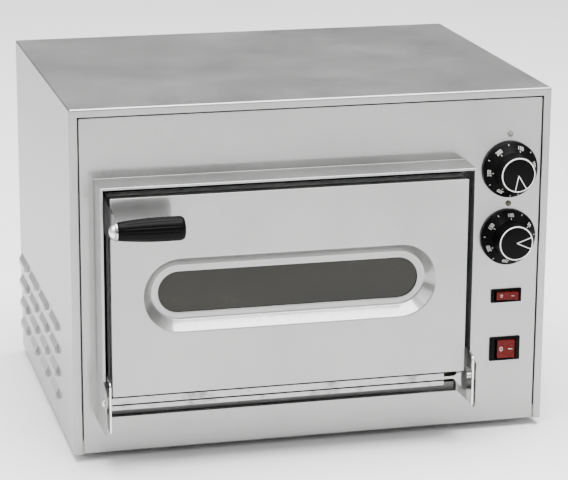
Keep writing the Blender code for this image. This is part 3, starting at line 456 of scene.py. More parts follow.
def rounded(corners, steps=6):
    """A closed outline from (u, v, radius) corners, each one rounded by its radius."""
    outline = []
    count = len(corners)
    for i, (u, v, radius) in enumerate(corners):
        here = Vector((u, v))
        before = (Vector(corners[i - 1][:2]) - here).normalized()
        after = (Vector(corners[(i + 1) % count][:2]) - here).normalized()
        if radius == 0:
            outline.append((u, v))
            continue
        half = before.angle(after) / 2
        reach = radius / math.tan(half)
        centre = here + (before + after).normalized() * (radius / math.sin(half))
        start = here + before * reach - centre
        end = here + after * reach - centre
        sweep = start.angle_signed(end)
        for k in range(steps + 1):
            spoke = start.copy()
            spoke.rotate(Matrix.Rotation(-sweep * k / steps, 2))
            outline.append(tuple(centre + spoke))
    return outline


def stadium(centre, half_length, half_height, steps=28):
    """Points (x, z) of a slot with half-round ends."""
    points = []
    for side, first in ((1, -90), (-1, 90)):
        end = (centre[0] + side * (half_length - half_height), centre[1])
        points += arc(end, half_height, first, first + 180, steps)
    return points


def middle(node):
    """The middle of a CAD node's box: x, y and z."""
    low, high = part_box(node)
    return tuple((a + b) / 2 for a, b in zip(low, high))


def rectangle(x0, x1, z0, z1, radius=0, steps=3):
    """A rectangle's outline (x, z), from its lower left corner up, with rounded corners."""
    return rounded([(x, z, radius) for x, z in ((x0, z0), (x0, z1), (x1, z1), (x1, z0))], steps)


def loop_at(bm, outline, y):
    """Vertices for an outline (x, z) at a place along Y."""
    return [bm.verts.new((x, y, z)) for x, z in outline]


def close_ends(bm, loops):
    """Closes a tube of loops at both ends and turns its faces outward."""
    bm.faces.new(loops[0])
    bm.faces.new(loops[-1])
    bmesh.ops.remove_doubles(bm, verts=bm.verts, dist=0.000001)
    bmesh.ops.recalc_face_normals(bm, faces=bm.faces)


def loops_to_faces(bm, loops, closed=True):
    """Joins loops of the same number of vertices with quads."""
    for upper, lower in zip(loops, loops[1:]):
        count = len(upper)
        for i in range(count if closed else count - 1):
            j = (i + 1) % count
            bm.faces.new((upper[i], upper[j], lower[j], lower[i]))


def fill_between(bm, loops):
    """Fills a flat face whose first loop is its outline and whose others are its holes."""
    edges = []
    for loop in loops:
        for a, b in zip(loop, loop[1:] + loop[:1]):
            edges.append(bm.edges.get((a, b)) or bm.edges.new((a, b)))
    return bmesh.ops.triangle_fill(bm, edges=edges, use_beauty=True)["geom"]


def arch(left, right, top, bottom, inset, radius, steps=4):
    """An inverted U, moved in by inset, from the bottom left over the top: (x, z)."""
    reach = inset + radius
    points = [(left + inset, bottom)]
    points += arc((left + reach, top - reach), radius, 180, 90, steps)
    points += arc((right - reach, top - reach), radius, 90, 0, steps)
    points.append((right - inset, bottom))
    return points


def turned_back(bend, reach, steps=4):
    """(inset, depth) from a flat face around a bend to the end of an edge turned back."""
    rows = []
    for i in range(steps + 1):
        turn = math.pi / 2 * i / steps
        rows.append((bend * (1 - math.sin(turn)), bend * (1 - math.cos(turn))))
    return rows + [(0.0, reach)]


def open_loops(bm, outline_at, rows, y):
    """Loops of vertices from an outline by inset and (inset, depth) rows behind y."""
    return [loop_at(bm, outline_at(inset), y + depth) for inset, depth in rows]


# --- Casing ---


def casing_rows(steps=6):
    """(inset, y) along the sheet: rim turned in, rear flange, bend, sheet, bend and front flange."""
    small = 0.0008
    rows = [(RIM_W, FRONT_Y + RIM_REACH)]
    rows += [(RIM_W - small + u, FRONT_Y + small + v) for u, v in arc((0, 0), small, 0, -90, 3)]
    rows += [(BEND_R + u, FRONT_Y + BEND_R + v) for u, v in arc((0, 0), BEND_R, 270, 180, steps)]
    rows += [(BEND_R + u, BACK_Y - BEND_R + v) for u, v in arc((0, 0), BEND_R, 180, 90, steps)]
    rows += [(RIM_W - small + u, BACK_Y - small + v) for u, v in arc((0, 0), small, 90, 0, 3)]
    rows.append((RIM_W, BACK_Y - RIM_REACH))
    return rows


LOUVRE_HALF_L = 0.025
LOUVRE_HALF_H = 0.0055
LOUVRE_END = 0.0045


def louvre_places():
    """Centres (y, z) of the louvres in 4 columns and 4 rows, from the casing's front and base."""
    first_y, pitch_y = FRONT_Y + 0.120, 0.074
    first_z, pitch_z = BASE_Z + 0.033, 0.025
    return [(first_y + pitch_y * i, first_z + pitch_z * j) for i in range(4) for j in range(4)]


def add_louvre(bm, side, y, z):
    """One lanced louvre: a steep slope, a wall down to its open lip, and closed ends.

    Returns its loop on the sheet.
    """
    us = (-LOUVRE_HALF_L, LOUVRE_END - LOUVRE_HALF_L, LOUVRE_HALF_L - LOUVRE_END, LOUVRE_HALF_L)
    sheet, shoulder, lip = (side * (HALF_W + LOUVRE_DEPTH * share) for share in (0.0, 0.90, 0.97))
    foot, waist, top = z - LOUVRE_HALF_H, z - LOUVRE_HALF_H * 0.15, z + LOUVRE_HALF_H
    ends = [bm.verts.new((sheet, y + u, foot)) for u in (us[0], us[3])]
    tops = [bm.verts.new((sheet, y + u, top)) for u in us[1:3]]
    shoulders = [bm.verts.new((shoulder, y + u, waist)) for u in us[1:3]]
    lips = [bm.verts.new((lip, y + u, foot)) for u in us[1:3]]
    loops_to_faces(bm, [tops, shoulders, lips], False)
    for i in range(2):
        bm.faces.new((tops[i], shoulders[i], ends[i]))
        bm.faces.new((shoulders[i], lips[i], ends[i]))
    return [ends[0], tops[0], tops[1], ends[1]]


def make_shell():
    """The outer shell, with rolled edges, turned-in rims and pressed louvres."""
    bm = bmesh.new()

    def section(inset):
        return arch(-HALF_W, HALF_W, TOP_Z, BASE_Z, inset, max(BEND_R - inset, 0.0002), 6)

    rows = open_loops(bm, section, casing_rows(), 0)
    widest = len(rows) // 2
    for number, (front, back) in enumerate(zip(rows, rows[1:]), start=1):
        for i in range(len(front) - 1):
            is_side = number == widest and i in (0, len(front) - 2)
            if not is_side:
                bm.faces.new((front[i], front[i + 1], back[i + 1], back[i]))
    for side, column in ((-1, 0), (1, -1)):
        step = 1 if side < 0 else -1
        front, back = rows[widest - 1], rows[widest]
        outline = [front[column], back[column], back[column + step], front[column + step]]
        holes = [add_louvre(bm, side, y, z) for y, z in louvre_places()]
        fill_between(bm, [outline] + holes)
    face_out(bm, 2, 1)
    for face in bm.faces:
        face.material_index = 1 if abs(face.normal.x) > 0.7 else 0
    shell = finish_mesh("casing_shell", bm, ("steel", "steel_y"), 16)
    thicken(shell, 0.0010)
    even_shading(shell)
    return show(shell, "cabinet", "steel", "outer_shell")


MOUTH_MARGIN = 0.004
MOUTH_CHAMFER = 0.005
MOUTH_CURB = 0.0076


def mouth_outline(grow):
    """The opening behind the door, with its cut lower left corner, made larger by grow."""
    low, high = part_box("door_surround")
    left, right = low.x + MOUTH_MARGIN - grow, high.x - MOUTH_MARGIN + grow
    bottom, top = low.z + 0.003 - grow, high.z - 0.0036 + grow
    cut = MOUTH_CHAMFER + grow * (2 - math.sqrt(2))
    radius = 0.0008
    corners = [(left, bottom + cut), (left, top), (right, top), (right, bottom), (left + cut, bottom)]
    return rounded([(x, z, radius) for x, z in corners], 3)


def make_front_panel():
    """The flat front sheet: edges bent back, the mouth's edges turned in, and control holes.

    A low lip stands along the mouth's bottom, which the CAD's panel doesn't have; its dull grey tone is
    painted shade for the band under the sill.
    """
    face_y = PANEL_LOW.y
    trim = 0.0005
    left, right = PANEL_LOW.x + trim, PANEL_HIGH.x - trim
    bottom, top = PANEL_LOW.z, PANEL_HIGH.z - trim

    def edge(inset):
        return rectangle(left + inset, right - inset, bottom + inset, top - inset, 0.0012)

    bm = bmesh.new()
    outer = open_loops(bm, edge, turned_back(0.0010, 0.008), face_y)
    mouth = open_loops(bm, mouth_outline, turned_back(0.0008, 0.006), face_y)
    loops_to_faces(bm, outer)
    loops_to_faces(bm, mouth)
    lowest = sorted(mouth[-1], key=lambda vert: vert.co.z)[:2]
    curb = [bm.verts.new(vert.co + Vector((0, 0, MOUTH_CURB))) for vert in lowest]
    # The lip takes the dull grey that paints the shaded band under the sill
    bm.faces.new((lowest[0], lowest[1], curb[1], curb[0])).material_index = 1
    holes = [mouth[0]]
    for node, radius in (
        ("upper_knob", 0.005),
        ("lower_knob", 0.005),
        ("upper_pilot_lamp", 0.0028),
        ("lower_pilot_lamp", 0.0028),
    ):
        x, _, z = middle(node)
        holes.append(loop_at(bm, arc((x, z), radius, 0, 350, 35), face_y))
    for node in ("lamp_switch_housing", "main_switch_housing"):
        low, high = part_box(node)
        rim = 0.0013
        hole = rectangle(low.x + rim, high.x - rim, low.z + rim, high.z - rim)
        holes.append(loop_at(bm, hole, face_y))
    fill_between(bm, [outer[0]] + holes)
    face_out(bm, 1, -1)
    panel = finish_mesh("front_sheet", bm, ("steel", "shade_plate"), 35)
    thicken(panel, 0.0010)
    even_shading(panel)
    return show(panel, "cabinet", "steel", "front_panel")


EAR_TOP = BASE_Z + 0.089
SURROUND_DEPTH = 0.037
SURROUND_HEM = 0.0025


def surround_rows():
    """(inset, y) along the surround's wall: rear flare, wall, front bend, hem and fold back."""
    bend = 0.0008
    front = FRONT_Y - SURROUND_DEPTH
    rows = [(-0.0010, FRONT_Y + 0.0003), (-0.0009, FRONT_Y), (0.0, FRONT_Y - 0.0014)]
    rows += [(bend + u, front + bend + v) for u, v in arc((0, 0), bend, 180, 270, 7)]
    rows += [(SURROUND_HEM - 0.0003, front), (SURROUND_HEM, front + 0.0003), (SURROUND_HEM, front + 0.0055)]
    return rows


def make_surround():
    """The shallow frame around the door: a hemmed top and cheeks, and an ear below each cheek."""
    low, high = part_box("door_surround")
    bm = bmesh.new()

    def section(inset):
        return arch(low.x, high.x, high.z, EAR_TOP, inset, max(0.0006 - inset, 0.0001), 3)

    loops = open_loops(bm, section, surround_rows(), 0)
    loops_to_faces(bm, loops, False)
    face_out(bm, 2, 1)
    back, front = FRONT_Y + 0.0003, FRONT_Y - SURROUND_DEPTH + 0.0006
    ear = [
        (back, low.z), (back, EAR_TOP - 0.0001), (front, EAR_TOP - 0.0001),
        (low.y + 0.001, EAR_TOP - 0.0055), (low.y, EAR_TOP - 0.0070), (low.y, low.z + 0.004),
        (low.y + 0.004, low.z),
    ]
    pin = middle("hinge_pin_left")[1:]
    for side, x in ((-1, low.x), (1, high.x)):
        outline = [bm.verts.new((x, y, z)) for y, z in ear]
        hole = [bm.verts.new((x, y, z)) for y, z in arc(pin, 0.0029, 0, 350, 35)]
        faces = [item for item in fill_between(bm, [outline, hole]) if isinstance(item, bmesh.types.BMFace)]
        bmesh.ops.reverse_faces(bm, faces=[face for face in faces if face.normal.x * side < 0])
    surround = finish_mesh("door_frame", bm, ("steel",), 35)
    thicken(surround, 0.0009)
    even_shading(surround)
    return show(surround, "cabinet", "steel", "door_surround")


# --- Door ---

SKIN_LOW, SKIN_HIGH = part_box("door_outer_skin")
GLASS_LOW, GLASS_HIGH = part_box("window_glass_outer")
WINDOW_CENTRE = middle("window_glass_outer")[::2]
GLASS_LIP = 0.0045
WINDOW_HALF_L = (GLASS_HIGH.x - GLASS_LOW.x) / 2 - GLASS_LIP
WINDOW_HALF_H = (GLASS_HIGH.z - GLASS_LOW.z) / 2 - GLASS_LIP
WINDOW_RING = 0.007
WINDOW_FLANK = 0.0098
WINDOW_DISH = 0.012


def dish_profile():
    """(grow, depth) from the door's face down the dish's flank to the window's edge."""
    lip_r, root_r = 0.0022, 0.0030
    steps = 6
    top = WINDOW_RING + WINDOW_FLANK
    slope = math.atan2(WINDOW_DISH, WINDOW_FLANK)
    turns = [slope * i / steps for i in range(steps + 1)]
    profile = [(top + lip_r * 0.5 - lip_r * math.sin(turn), lip_r * (1 - math.cos(turn))) for turn in turns]
    for i in range(steps + 1):
        turn = slope * (1 - i / steps)
        grow = WINDOW_RING - root_r * 0.5 + root_r * math.sin(turn)
        profile.append((grow, WINDOW_DISH - root_r * (1 - math.cos(turn))))
    profile += [(WINDOW_RING * 0.35, WINDOW_DISH), (0.0005, WINDOW_DISH)]
    return profile + [(0.0, WINDOW_DISH + 0.0004)]


def make_door_skin():
    """The door's front sheet: rolled edges and a deep-drawn dish around the window."""
    bm = bmesh.new()
    roll = 0.0006
    low, high = SKIN_LOW, SKIN_HIGH
    rows = [(0.0, high.y)]
    rows += [(roll + u, low.y + roll + v) for u, v in arc((0, 0), roll, 180, 270, 5)]

    def edge(inset):
        sides = (low.x + inset, high.x - inset, low.z + inset, high.z - inset)
        return rectangle(*sides, max(roll - inset, 0.00015))

    def dish(grow):
        return stadium(WINDOW_CENTRE, WINDOW_HALF_L + grow, WINDOW_HALF_H + grow)

    loops = open_loops(bm, edge, rows, 0)
    loops_to_faces(bm, loops)
    rings = open_loops(bm, dish, dish_profile(), low.y)
    loops_to_faces(bm, rings)
    fill_between(bm, [loops[-1], rings[0]])
    bmesh.ops.remove_doubles(bm, verts=bm.verts, dist=0.000001)
    face_out(bm, 1, -1)
    skin = finish_mesh("door_front_sheet", bm, ("steel",), 50)
    thicken(skin, 0.0009)
    even_shading(skin)
    return show(skin, "door", "steel", "door_outer_skin")


def make_pane(name, node, slot, edge):
    """A window pane with ground edges."""
    low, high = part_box(node)
    centre = middle(node)[::2]
    half_l, half_h = (high.x - low.x) / 2, (high.z - low.z) / 2
    bm = bmesh.new()

    def outline(inset):
        return stadium(centre, half_l - inset, half_h - inset)

    rows = ((edge, low.y), (0, low.y + edge), (0, high.y - edge), (edge, high.y))
    loops = open_loops(bm, outline, rows, 0)
    loops_to_faces(bm, loops)
    close_ends(bm, loops)
    return show(finish_mesh(name, bm, (slot,), 30), "door", slot, node)


def make_grip():
    """The tapered black grip, fluted along its length."""
    low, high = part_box("handle_grip")
    big = (high.z - low.z) / 2
    small = big * 0.77
    length = high.x - low.x
    profile = [(0, 0.0004), (small * 0.55, 0.0003), (small - 0.0014, 0)]
    profile += [(small - 0.0004, 0.0004), (small, 0.0014)]
    for i in range(1, 17):
        t = i / 16
        swell = math.sin(min(1.0, t / 0.72) * math.pi / 2) ** 0.9
        profile.append((small + (big - small) * swell, 0.0014 + (length - 0.0064) * t))
    for a in (0.35, 0.7, 1.0, 1.25):
        profile.append((big * math.cos(a) * 0.28 + big * 0.72, length - 0.0050 + 0.0050 * math.sin(a)))
    profile += [(big * 0.72, length), (big * 0.40, length - 0.0002), (0, length - 0.0003)]
    flutes = 14

    def ripple(angle, height):
        fade = min(1.0, max(0.0, (height - 0.002) / 0.004), max(0.0, (length - 0.003 - height) / 0.004))
        groove = max(0.0, math.cos(angle * flutes)) ** 3
        return 1 - 0.035 * fade * groove

    centre = (low.x, *middle("handle_grip")[1:])
    grip = revolve("grip", profile, centre, (1, 0, 0), ("grip_plastic",), 168, 45, ripple)
    return show(grip, "door", "grip_plastic", "handle_grip")


def make_bolt():
    """The domed bolt through the bracket, with its thin flange."""
    low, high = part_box("handle_bolt")
    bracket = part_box("handle_bracket")[0].x
    head_r = (high.z - low.z) / 2
    head_h = bracket - 0.0003 - low.x
    profile = [(0, head_h)]
    for i in range(1, 12):
        a = math.pi / 2 * i / 11
        profile.append((head_r * 0.90 * math.sin(a), 0.0010 + (head_h - 0.0010) * math.cos(a)))
    profile += [(head_r - 0.0002, 0.0010), (head_r, 0.0007), (head_r, 0.0002), (head_r - 0.0002, 0)]
    profile += [(0.0030, 0), (0.0030, -(high.x - bracket) + 0.001), (0, -(high.x - bracket) + 0.0005)]
    centre = (bracket - 0.0003, *middle("handle_bolt")[1:])
    bolt = revolve("grip_bolt", profile, centre, (-1, 0, 0), ("bolt_steel",), 48, 40)
    return show(bolt, "door", "bright_steel", "handle_bolt")


# --- Hinges ---

ARM_THICK = 0.0018
ARM_EDGE = 0.0004


def make_hinge_arm(side):
    """A door arm: a polished plate with a sloped top and softened edges."""
    low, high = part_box("hinge_arm_" + side)
    pin = middle("hinge_pin_" + side)[1:]
    outer = low.x if side == "left" else high.x
    sign = 1 if side == "left" else -1
    corners = [
        (low.y, low.z, 0.0032), (low.y, high.z - 0.0040, 0.0050), (low.y + 0.012, high.z, 0.0045),
        (high.y, high.z, 0.0045), (high.y, high.z - 0.017, 0.003),
        (pin[0] + 0.005, pin[1] + 0.0030, 0.009), (pin[0] + 0.005, low.z, 0.0032),
    ]
    outline = rounded(corners, 7)
    bm = bmesh.new()
    loops = []
    for inset, depth in ((ARM_EDGE, 0), (0, ARM_EDGE), (0, ARM_THICK - ARM_EDGE), (ARM_EDGE, ARM_THICK)):
        ring = []
        for i, point in enumerate(outline):
            along = (Vector(outline[(i + 1) % len(outline)]) - Vector(outline[i - 1])).normalized()
            inward = Vector((along.y, -along.x))
            ring.append(bm.verts.new((outer + sign * depth, *(Vector(point) + inward * inset))))
        loops.append(ring)
    hole = arc(pin, 0.0028, 0, 352.5, 47)
    bore = [[bm.verts.new((x, y, z)) for y, z in hole] for x in (outer, outer + sign * ARM_THICK)]
    loops_to_faces(bm, loops)
    loops_to_faces(bm, bore)
    fill_between(bm, [loops[0], bore[0]])
    fill_between(bm, [loops[-1], bore[-1]])
    bmesh.ops.recalc_face_normals(bm, faces=bm.faces)
    arm = even_shading(finish_mesh("door_arm_" + side, bm, ("bright_steel",), 40))
    return show(arm, "door", "bright_steel", "hinge_arm_" + side)


def make_hinge_pin(side):
    """The pin that an arm turns on, headed at both ends."""
    low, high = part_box("hinge_pin_" + side)
    sign = -1 if side == "left" else 1
    radius = (high.z - low.z) / 2
    head = 0.0022
    end = head - (high.x - low.x)
    profile = [(0, head)]
    for a in (0.3, 0.6, 0.9, 1.2, 1.45):
        profile.append((radius * math.sin(a), 0.0004 + (head - 0.0004) * math.cos(a)))
    profile += [(radius, 0.0004), (radius - 0.0002, 0), (0.0025, 0)]
    profile += [(0.0025, end + 0.0017), (0.0033, end + 0.0015), (0.0033, end + 0.0004)]
    profile += [(0.0028, end), (0, end)]
    outer = low.x if side == "left" else high.x
    centre = (outer - sign * head, *middle("hinge_pin_" + side)[1:])
    pin = revolve("hinge_rivet_" + side, profile, centre, (sign, 0, 0), ("bright_steel",), 40)
    return show(pin, "cabinet", "bright_steel", "hinge_pin_" + side)


# --- Controls ---

KNOB_R = 0.0294
KNOB_CAP_R = 0.0184
SKIRT_TOP, SKIRT_EDGE = 0.0105, 0.0046
CAP_PRINT = 0.02805
POINTER_OPENING = 21
NUMERAL_R, NUMERAL_SIZE = 0.0245, 0.0047
PRINT_RISE = 0.00012
NUMERALS = (("300", 40), ("250", 97), ("200", 154), ("150", 211), ("100", 268), ("50", 325))


def skirt_depth(radius):
    """How far the skirt's face stands from the panel side of the knob at a radius."""
    inner_r, outer_r = KNOB_CAP_R + 0.0020, KNOB_R - 0.0012
    t = (radius - inner_r) / (outer_r - inner_r)
    return SKIRT_TOP + (SKIRT_EDGE - SKIRT_TOP) * t


def on_dial(centre, angle, radius, lift):
    """A point on the knob's front, clockwise from the top, lift in front of the back plane."""
    a = math.radians(angle)
    return (centre.x + radius * math.sin(a), centre.y - lift, centre.z + radius * math.cos(a))


def numeral_mesh(text, size):
    """Flat mesh of some digits, centred, as lists of points and faces."""
    curve = bpy.data.curves.new("digits", "FONT")
    curve.body = text
    curve.size = size
    curve.align_x = "CENTER"
    curve.align_y = "CENTER"
    holder = bpy.data.objects.new("digits", curve)
    bpy.context.scene.collection.objects.link(holder)
    mesh = bpy.data.meshes.new_from_object(holder.evaluated_get(bpy.context.evaluated_depsgraph_get()))
    points = [tuple(v.co)[:2] for v in mesh.vertices]
    faces = [tuple(p.vertices) for p in mesh.polygons]
    bpy.data.objects.remove(holder, do_unlink=True)
    bpy.data.meshes.remove(mesh)
    bpy.data.curves.remove(curve)
    return points, faces


def bar(bm, start, end, width, normal):
    """A thin raised bar between two points of a surface."""
    start, end, normal = Vector(start), Vector(end), Vector(normal).normalized()
    across = (end - start).cross(normal).normalized() * width / 2
    rise = normal * PRINT_RISE
    base = [start - across, start + across, end + across, end - across]
    low = [bm.verts.new(p - rise) for p in base]
    high = [bm.verts.new(p + rise) for p in base]
    bm.faces.new(high)
    bm.faces.new(low[::-1])
    for i in range(4):
        j = (i + 1) % 4
        bm.faces.new((low[i], low[j], high[j], high[i]))


def make_dial_print(label, centre, zero):
    """White print on a knob: the pointer, the cap's ring, the numerals and the ticks."""
    bm = bmesh.new()
    face = (0, -1, 0)

    def tick(turn, inner, outer):
        """A tick along the skirt between two radii."""
        ends = [on_dial(centre, zero + turn, radius, skirt_depth(radius)) for radius in (inner, outer)]
        bar(bm, *ends, 0.0005, face)

    tip = on_dial(centre, zero, 0.0006, CAP_PRINT)
    for turn in (-POINTER_OPENING, POINTER_OPENING):
        bar(bm, tip, on_dial(centre, zero + turn, KNOB_CAP_R - 0.0010, CAP_PRINT), 0.00075, face)
    steps = 72
    rim = []
    for inset, lift in ((0.0015, 0.02798), (0.0015, 0.02815), (0.0006, 0.02815), (0.0004, 0.02780)):
        radius = KNOB_CAP_R - inset
        rim.append([bm.verts.new(on_dial(centre, 360 * i / steps, radius, lift)) for i in range(steps)])
    loops_to_faces(bm, rim)
    for text, turn in NUMERALS:
        points, faces = numeral_mesh(text, NUMERAL_SIZE)
        verts = []
        for u, v in points:
            radius = NUMERAL_R + v
            angle = zero + turn + math.degrees(u / radius)
            place = on_dial(centre, angle, radius, skirt_depth(radius) + PRINT_RISE)
            verts.append(bm.verts.new(place))
        for corners in faces:
            bm.faces.new([verts[i] for i in corners])
        tick(turn, KNOB_CAP_R + 0.0022, KNOB_CAP_R + 0.0036)
    for turn in (11.5, 68.5, 125.5, 182.5, 239.5, 296.5, 353.0):
        tick(turn, 0.0263, 0.0277)
    marks = finish_mesh(label + "_dial_print", bm, ("print",), 30)
    return show(marks, label + "_dial", "knob_plastic")


def make_knob(label, zero):
    """A thermostat knob: a dished skirt, a waisted cap with finger ribs and its print."""
    low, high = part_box(label + "_knob")
    x, _, z = middle(label + "_knob")
    centre = Vector((x, high.y + 0.0015, z))
    reach = centre.y - low.y
    profile = [
        (0, reach), (KNOB_CAP_R - 0.0012, reach), (KNOB_CAP_R - 0.0004, reach - 0.0003),
        (KNOB_CAP_R, reach - 0.0010), (KNOB_CAP_R + 0.0002, reach - 0.0030),
        (KNOB_CAP_R + 0.0008, 0.0150), (KNOB_CAP_R + 0.0010, 0.0125), (KNOB_CAP_R + 0.0013, 0.0112),
        (KNOB_CAP_R + 0.0020, 0.0105), (KNOB_R - 0.0012, 0.0046), (KNOB_R - 0.0003, 0.0040),
        (KNOB_R, 0.0032), (KNOB_R, 0.0019), (KNOB_R - 0.0004, 0.0015), (KNOB_R - 0.0030, 0.0015),
        (KNOB_R - 0.0032, 0.0030), (0.0040, 0.0040), (0.0040, 0.0015), (0.0033, 0.0015),
        (0.0033, 0.0200), (0, 0.0200),
    ]
    ribs = 36

    def ripple(angle, height):
        inside = 0.0128 < height < reach - 0.0008
        return 1 - 0.010 * max(0.0, math.cos(angle * ribs)) if inside else 1.0

    knob = revolve(label + "_dial_knob", profile, centre, (0, -1, 0), ("knob_plastic",), 216, 40, ripple)
    show(knob, label + "_dial", "knob_plastic", label + "_knob")
    make_dial_print(label, centre, zero)


def lofted_block(name, centre, sections, slots, sharp=35):
    """A block facing the front from rounded-rectangle sections: (half_w, half_h, radius, y)."""
    bm = bmesh.new()
    loops = []
    for half_w, half_h, radius, y in sections:
        x, z = centre
        outline = rectangle(x - half_w, x + half_w, z - half_h, z + half_h, radius, 4)
        loops.append(loop_at(bm, outline, y))
    loops_to_faces(bm, loops)
    bm.faces.new(loops[0])
    bm.faces.new(loops[-1])
    bmesh.ops.recalc_face_normals(bm, faces=bm.faces)
    return finish_mesh(name, bm, slots, sharp)


def make_switch(label):
    """A rocker switch: a bezel with a sunk well, and a red rocker with its printed marks."""
    low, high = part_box(label + "_switch_housing")
    rocker_low, rocker_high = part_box(label + "_switch_rocker")
    centre = middle(label + "_switch_housing")[::2]
    half_w, half_h = (high.x - low.x) / 2, (high.z - low.z) / 2
    well_w = (rocker_high.x - rocker_low.x) / 2 + 0.0013
    well_h = (rocker_high.z - rocker_low.z) / 2 + 0.0006
    back = PANEL_LOW.y - 0.0002
    front = low.y
    body_w, body_h = half_w - 0.0016, half_h - 0.0015
    sections = [
        (body_w, body_h, 0.0006, high.y), (body_w, body_h, 0.0006, back),
        (half_w, half_h, 0.0006, back), (half_w, half_h, 0.0006, front + 0.0009),
        (half_w - 0.0003, half_h - 0.0003, 0.0006, front + 0.0003),
        (half_w - 0.0010, half_h - 0.0010, 0.0006, front),
        (well_w + 0.0007, well_h + 0.0005, 0.0007, front),
        (well_w + 0.0002, well_h + 0.0002, 0.0005, front + 0.0004),
        (well_w, well_h, 0.0004, front + 0.0012), (well_w, well_h, 0.0004, high.y - 0.012),
    ]
    housing = lofted_block(label + "_switch_frame", centre, sections, ("switch_plastic",))
    show(housing, "cabinet", "switch_plastic", label + "_switch_housing")
    make_rocker(label, rocker_low, rocker_high)


ROCKER_TILT = math.radians(7)


def make_rocker(label, low, high):
    """A red rocker with a hollowed face, tilted to its O side, and its O and dash."""
    half_h = (high.z - low.z) / 2
    reach = 0.0052
    half_w = ((high.x - low.x) / 2 - reach * math.sin(ROCKER_TILT)) / math.cos(ROCKER_TILT)
    corner = Vector((half_w, -reach, 0))
    corner.rotate(Matrix.Rotation(-ROCKER_TILT, 3, "Z"))
    pivot = Vector((high.x - corner.x, low.y - corner.y, (low.z + high.z) / 2))
    place = Matrix.Translation(pivot) @ Matrix.Rotation(-ROCKER_TILT, 4, "Z")
    columns, rows = 24, 10
    edge = 0.0005

    def face_y(u, v):
        """The rocker's face: hollow along its length and rolled at its edges."""
        hollow = -0.0038 - 0.0014 * (u / half_w) ** 2
        near = min(half_w - abs(u), half_h - abs(v))
        roll = edge - math.sqrt(max(0.0, edge**2 - (edge - near) ** 2)) if near < edge else 0.0
        return hollow + roll

    bm = bmesh.new()

    def stations(half, count):
        """Places from -half to half, close together over the rolled edges."""
        places = [-half + edge * t for t in (0, 0.15, 0.5, 1)]
        places += [-half + edge + (2 * half - 2 * edge) * i / count for i in range(1, count)]
        return places + [half - edge * t for t in (1, 0.5, 0.15, 0)]

    us, vs = stations(half_w, columns), stations(half_h, rows)
    grid = [[bm.verts.new((u, face_y(u, v), v)) for u in us] for v in vs]
    for a, b in zip(grid, grid[1:]):
        for i in range(len(us) - 1):
            bm.faces.new((a[i], a[i + 1], b[i + 1], b[i]))
    rim = grid[0][:-1] + [row[-1] for row in grid[:-1]] + grid[-1][:0:-1] + [row[0] for row in grid[:0:-1]]
    back = [bm.verts.new((v.co.x, 0.0006 + 0.0024 * (1 - abs(v.co.x) / half_w), v.co.z)) for v in rim]
    loops_to_faces(bm, [rim, back])
    bm.faces.new(back)
    bmesh.ops.recalc_face_normals(bm, faces=bm.faces)
    bm.transform(place)
    rocker = finish_mesh(label + "_rocker_cap", bm, ("red_plastic",), 50)
    show(rocker, label + "_rocker", "red_plastic", label + "_switch_rocker")

    marks = bmesh.new()
    size = min(half_h * 0.34, 0.0022)
    offset = half_w * 0.52
    steps = 36
    loops = []
    for radius, lift in ((size * 0.74, -0.00005), (size * 0.74, 0.0001), (size, 0.0001), (size, -0.00005)):
        ring = []
        for i in range(steps):
            a = math.tau * i / steps
            u, v = -offset + radius * math.cos(a) * 0.8, radius * math.sin(a)
            ring.append(marks.verts.new((u, face_y(u, v) - lift, v)))
        loops.append(ring)
    loops_to_faces(marks, loops)
    start, end = ((u, face_y(u, 0), 0) for u in (offset - size, offset + size))
    bar(marks, start, end, size * 0.24, (0, -1, 0))
    marks.transform(place)
    printed = finish_mesh(label + "_rocker_marks", marks, ("print",), 30)
    show(printed, label + "_rocker", "red_plastic")


def make_pilot(label, slot):
    """A signal lamp: a collar and a domed lens."""
    low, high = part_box(label + "_pilot_lamp")
    x, _, z = middle(label + "_pilot_lamp")
    centre = Vector((x, PANEL_LOW.y, z))
    radius = (high.x - low.x) / 2
    reach = centre.y - low.y
    profile = [(0, reach)]
    for a in (0.25, 0.5, 0.8, 1.1, 1.35):
        profile.append((radius * 0.74 * math.sin(a), reach - 0.0011 * (1 - math.cos(a))))
    profile += [
        (radius * 0.76, 0.0008), (radius * 0.84, 0.0010), (radius * 0.96, 0.0009), (radius, 0.0006),
        (radius, 0.0003), (0.0024, 0.0003), (0.0024, centre.y - high.y), (0, centre.y - high.y),
    ]
    lamp = revolve(label + "_signal_lamp", profile, centre, (0, -1, 0), (slot,), 40, 40)
    return show(lamp, "cabinet", slot, label + "_pilot_lamp")


# --- Base and back ---


def make_foot(node):
    """A turned rubber foot, with a hollow under it."""
    low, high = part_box(node)
    centre = (*middle(node)[:2], 0)
    radius = (high.x - low.x) / 2
    top = high.z
    profile = [
        (0, top), (radius - 0.0006, top), (radius - 0.0001, top - 0.0005), (radius, top - 0.0012),
        (radius - 0.0008, 0.0025), (radius - 0.0016, 0.0010), (radius - 0.0026, 0.0),
        (radius - 0.0060, 0.0), (radius - 0.0066, 0.0008), (0, 0.0008),
    ]
    foot = revolve("rubber_" + node, profile, centre, (0, 0, 1), ("rubber",), 56, 40)
    return show(foot, "cabinet", "rubber", node)


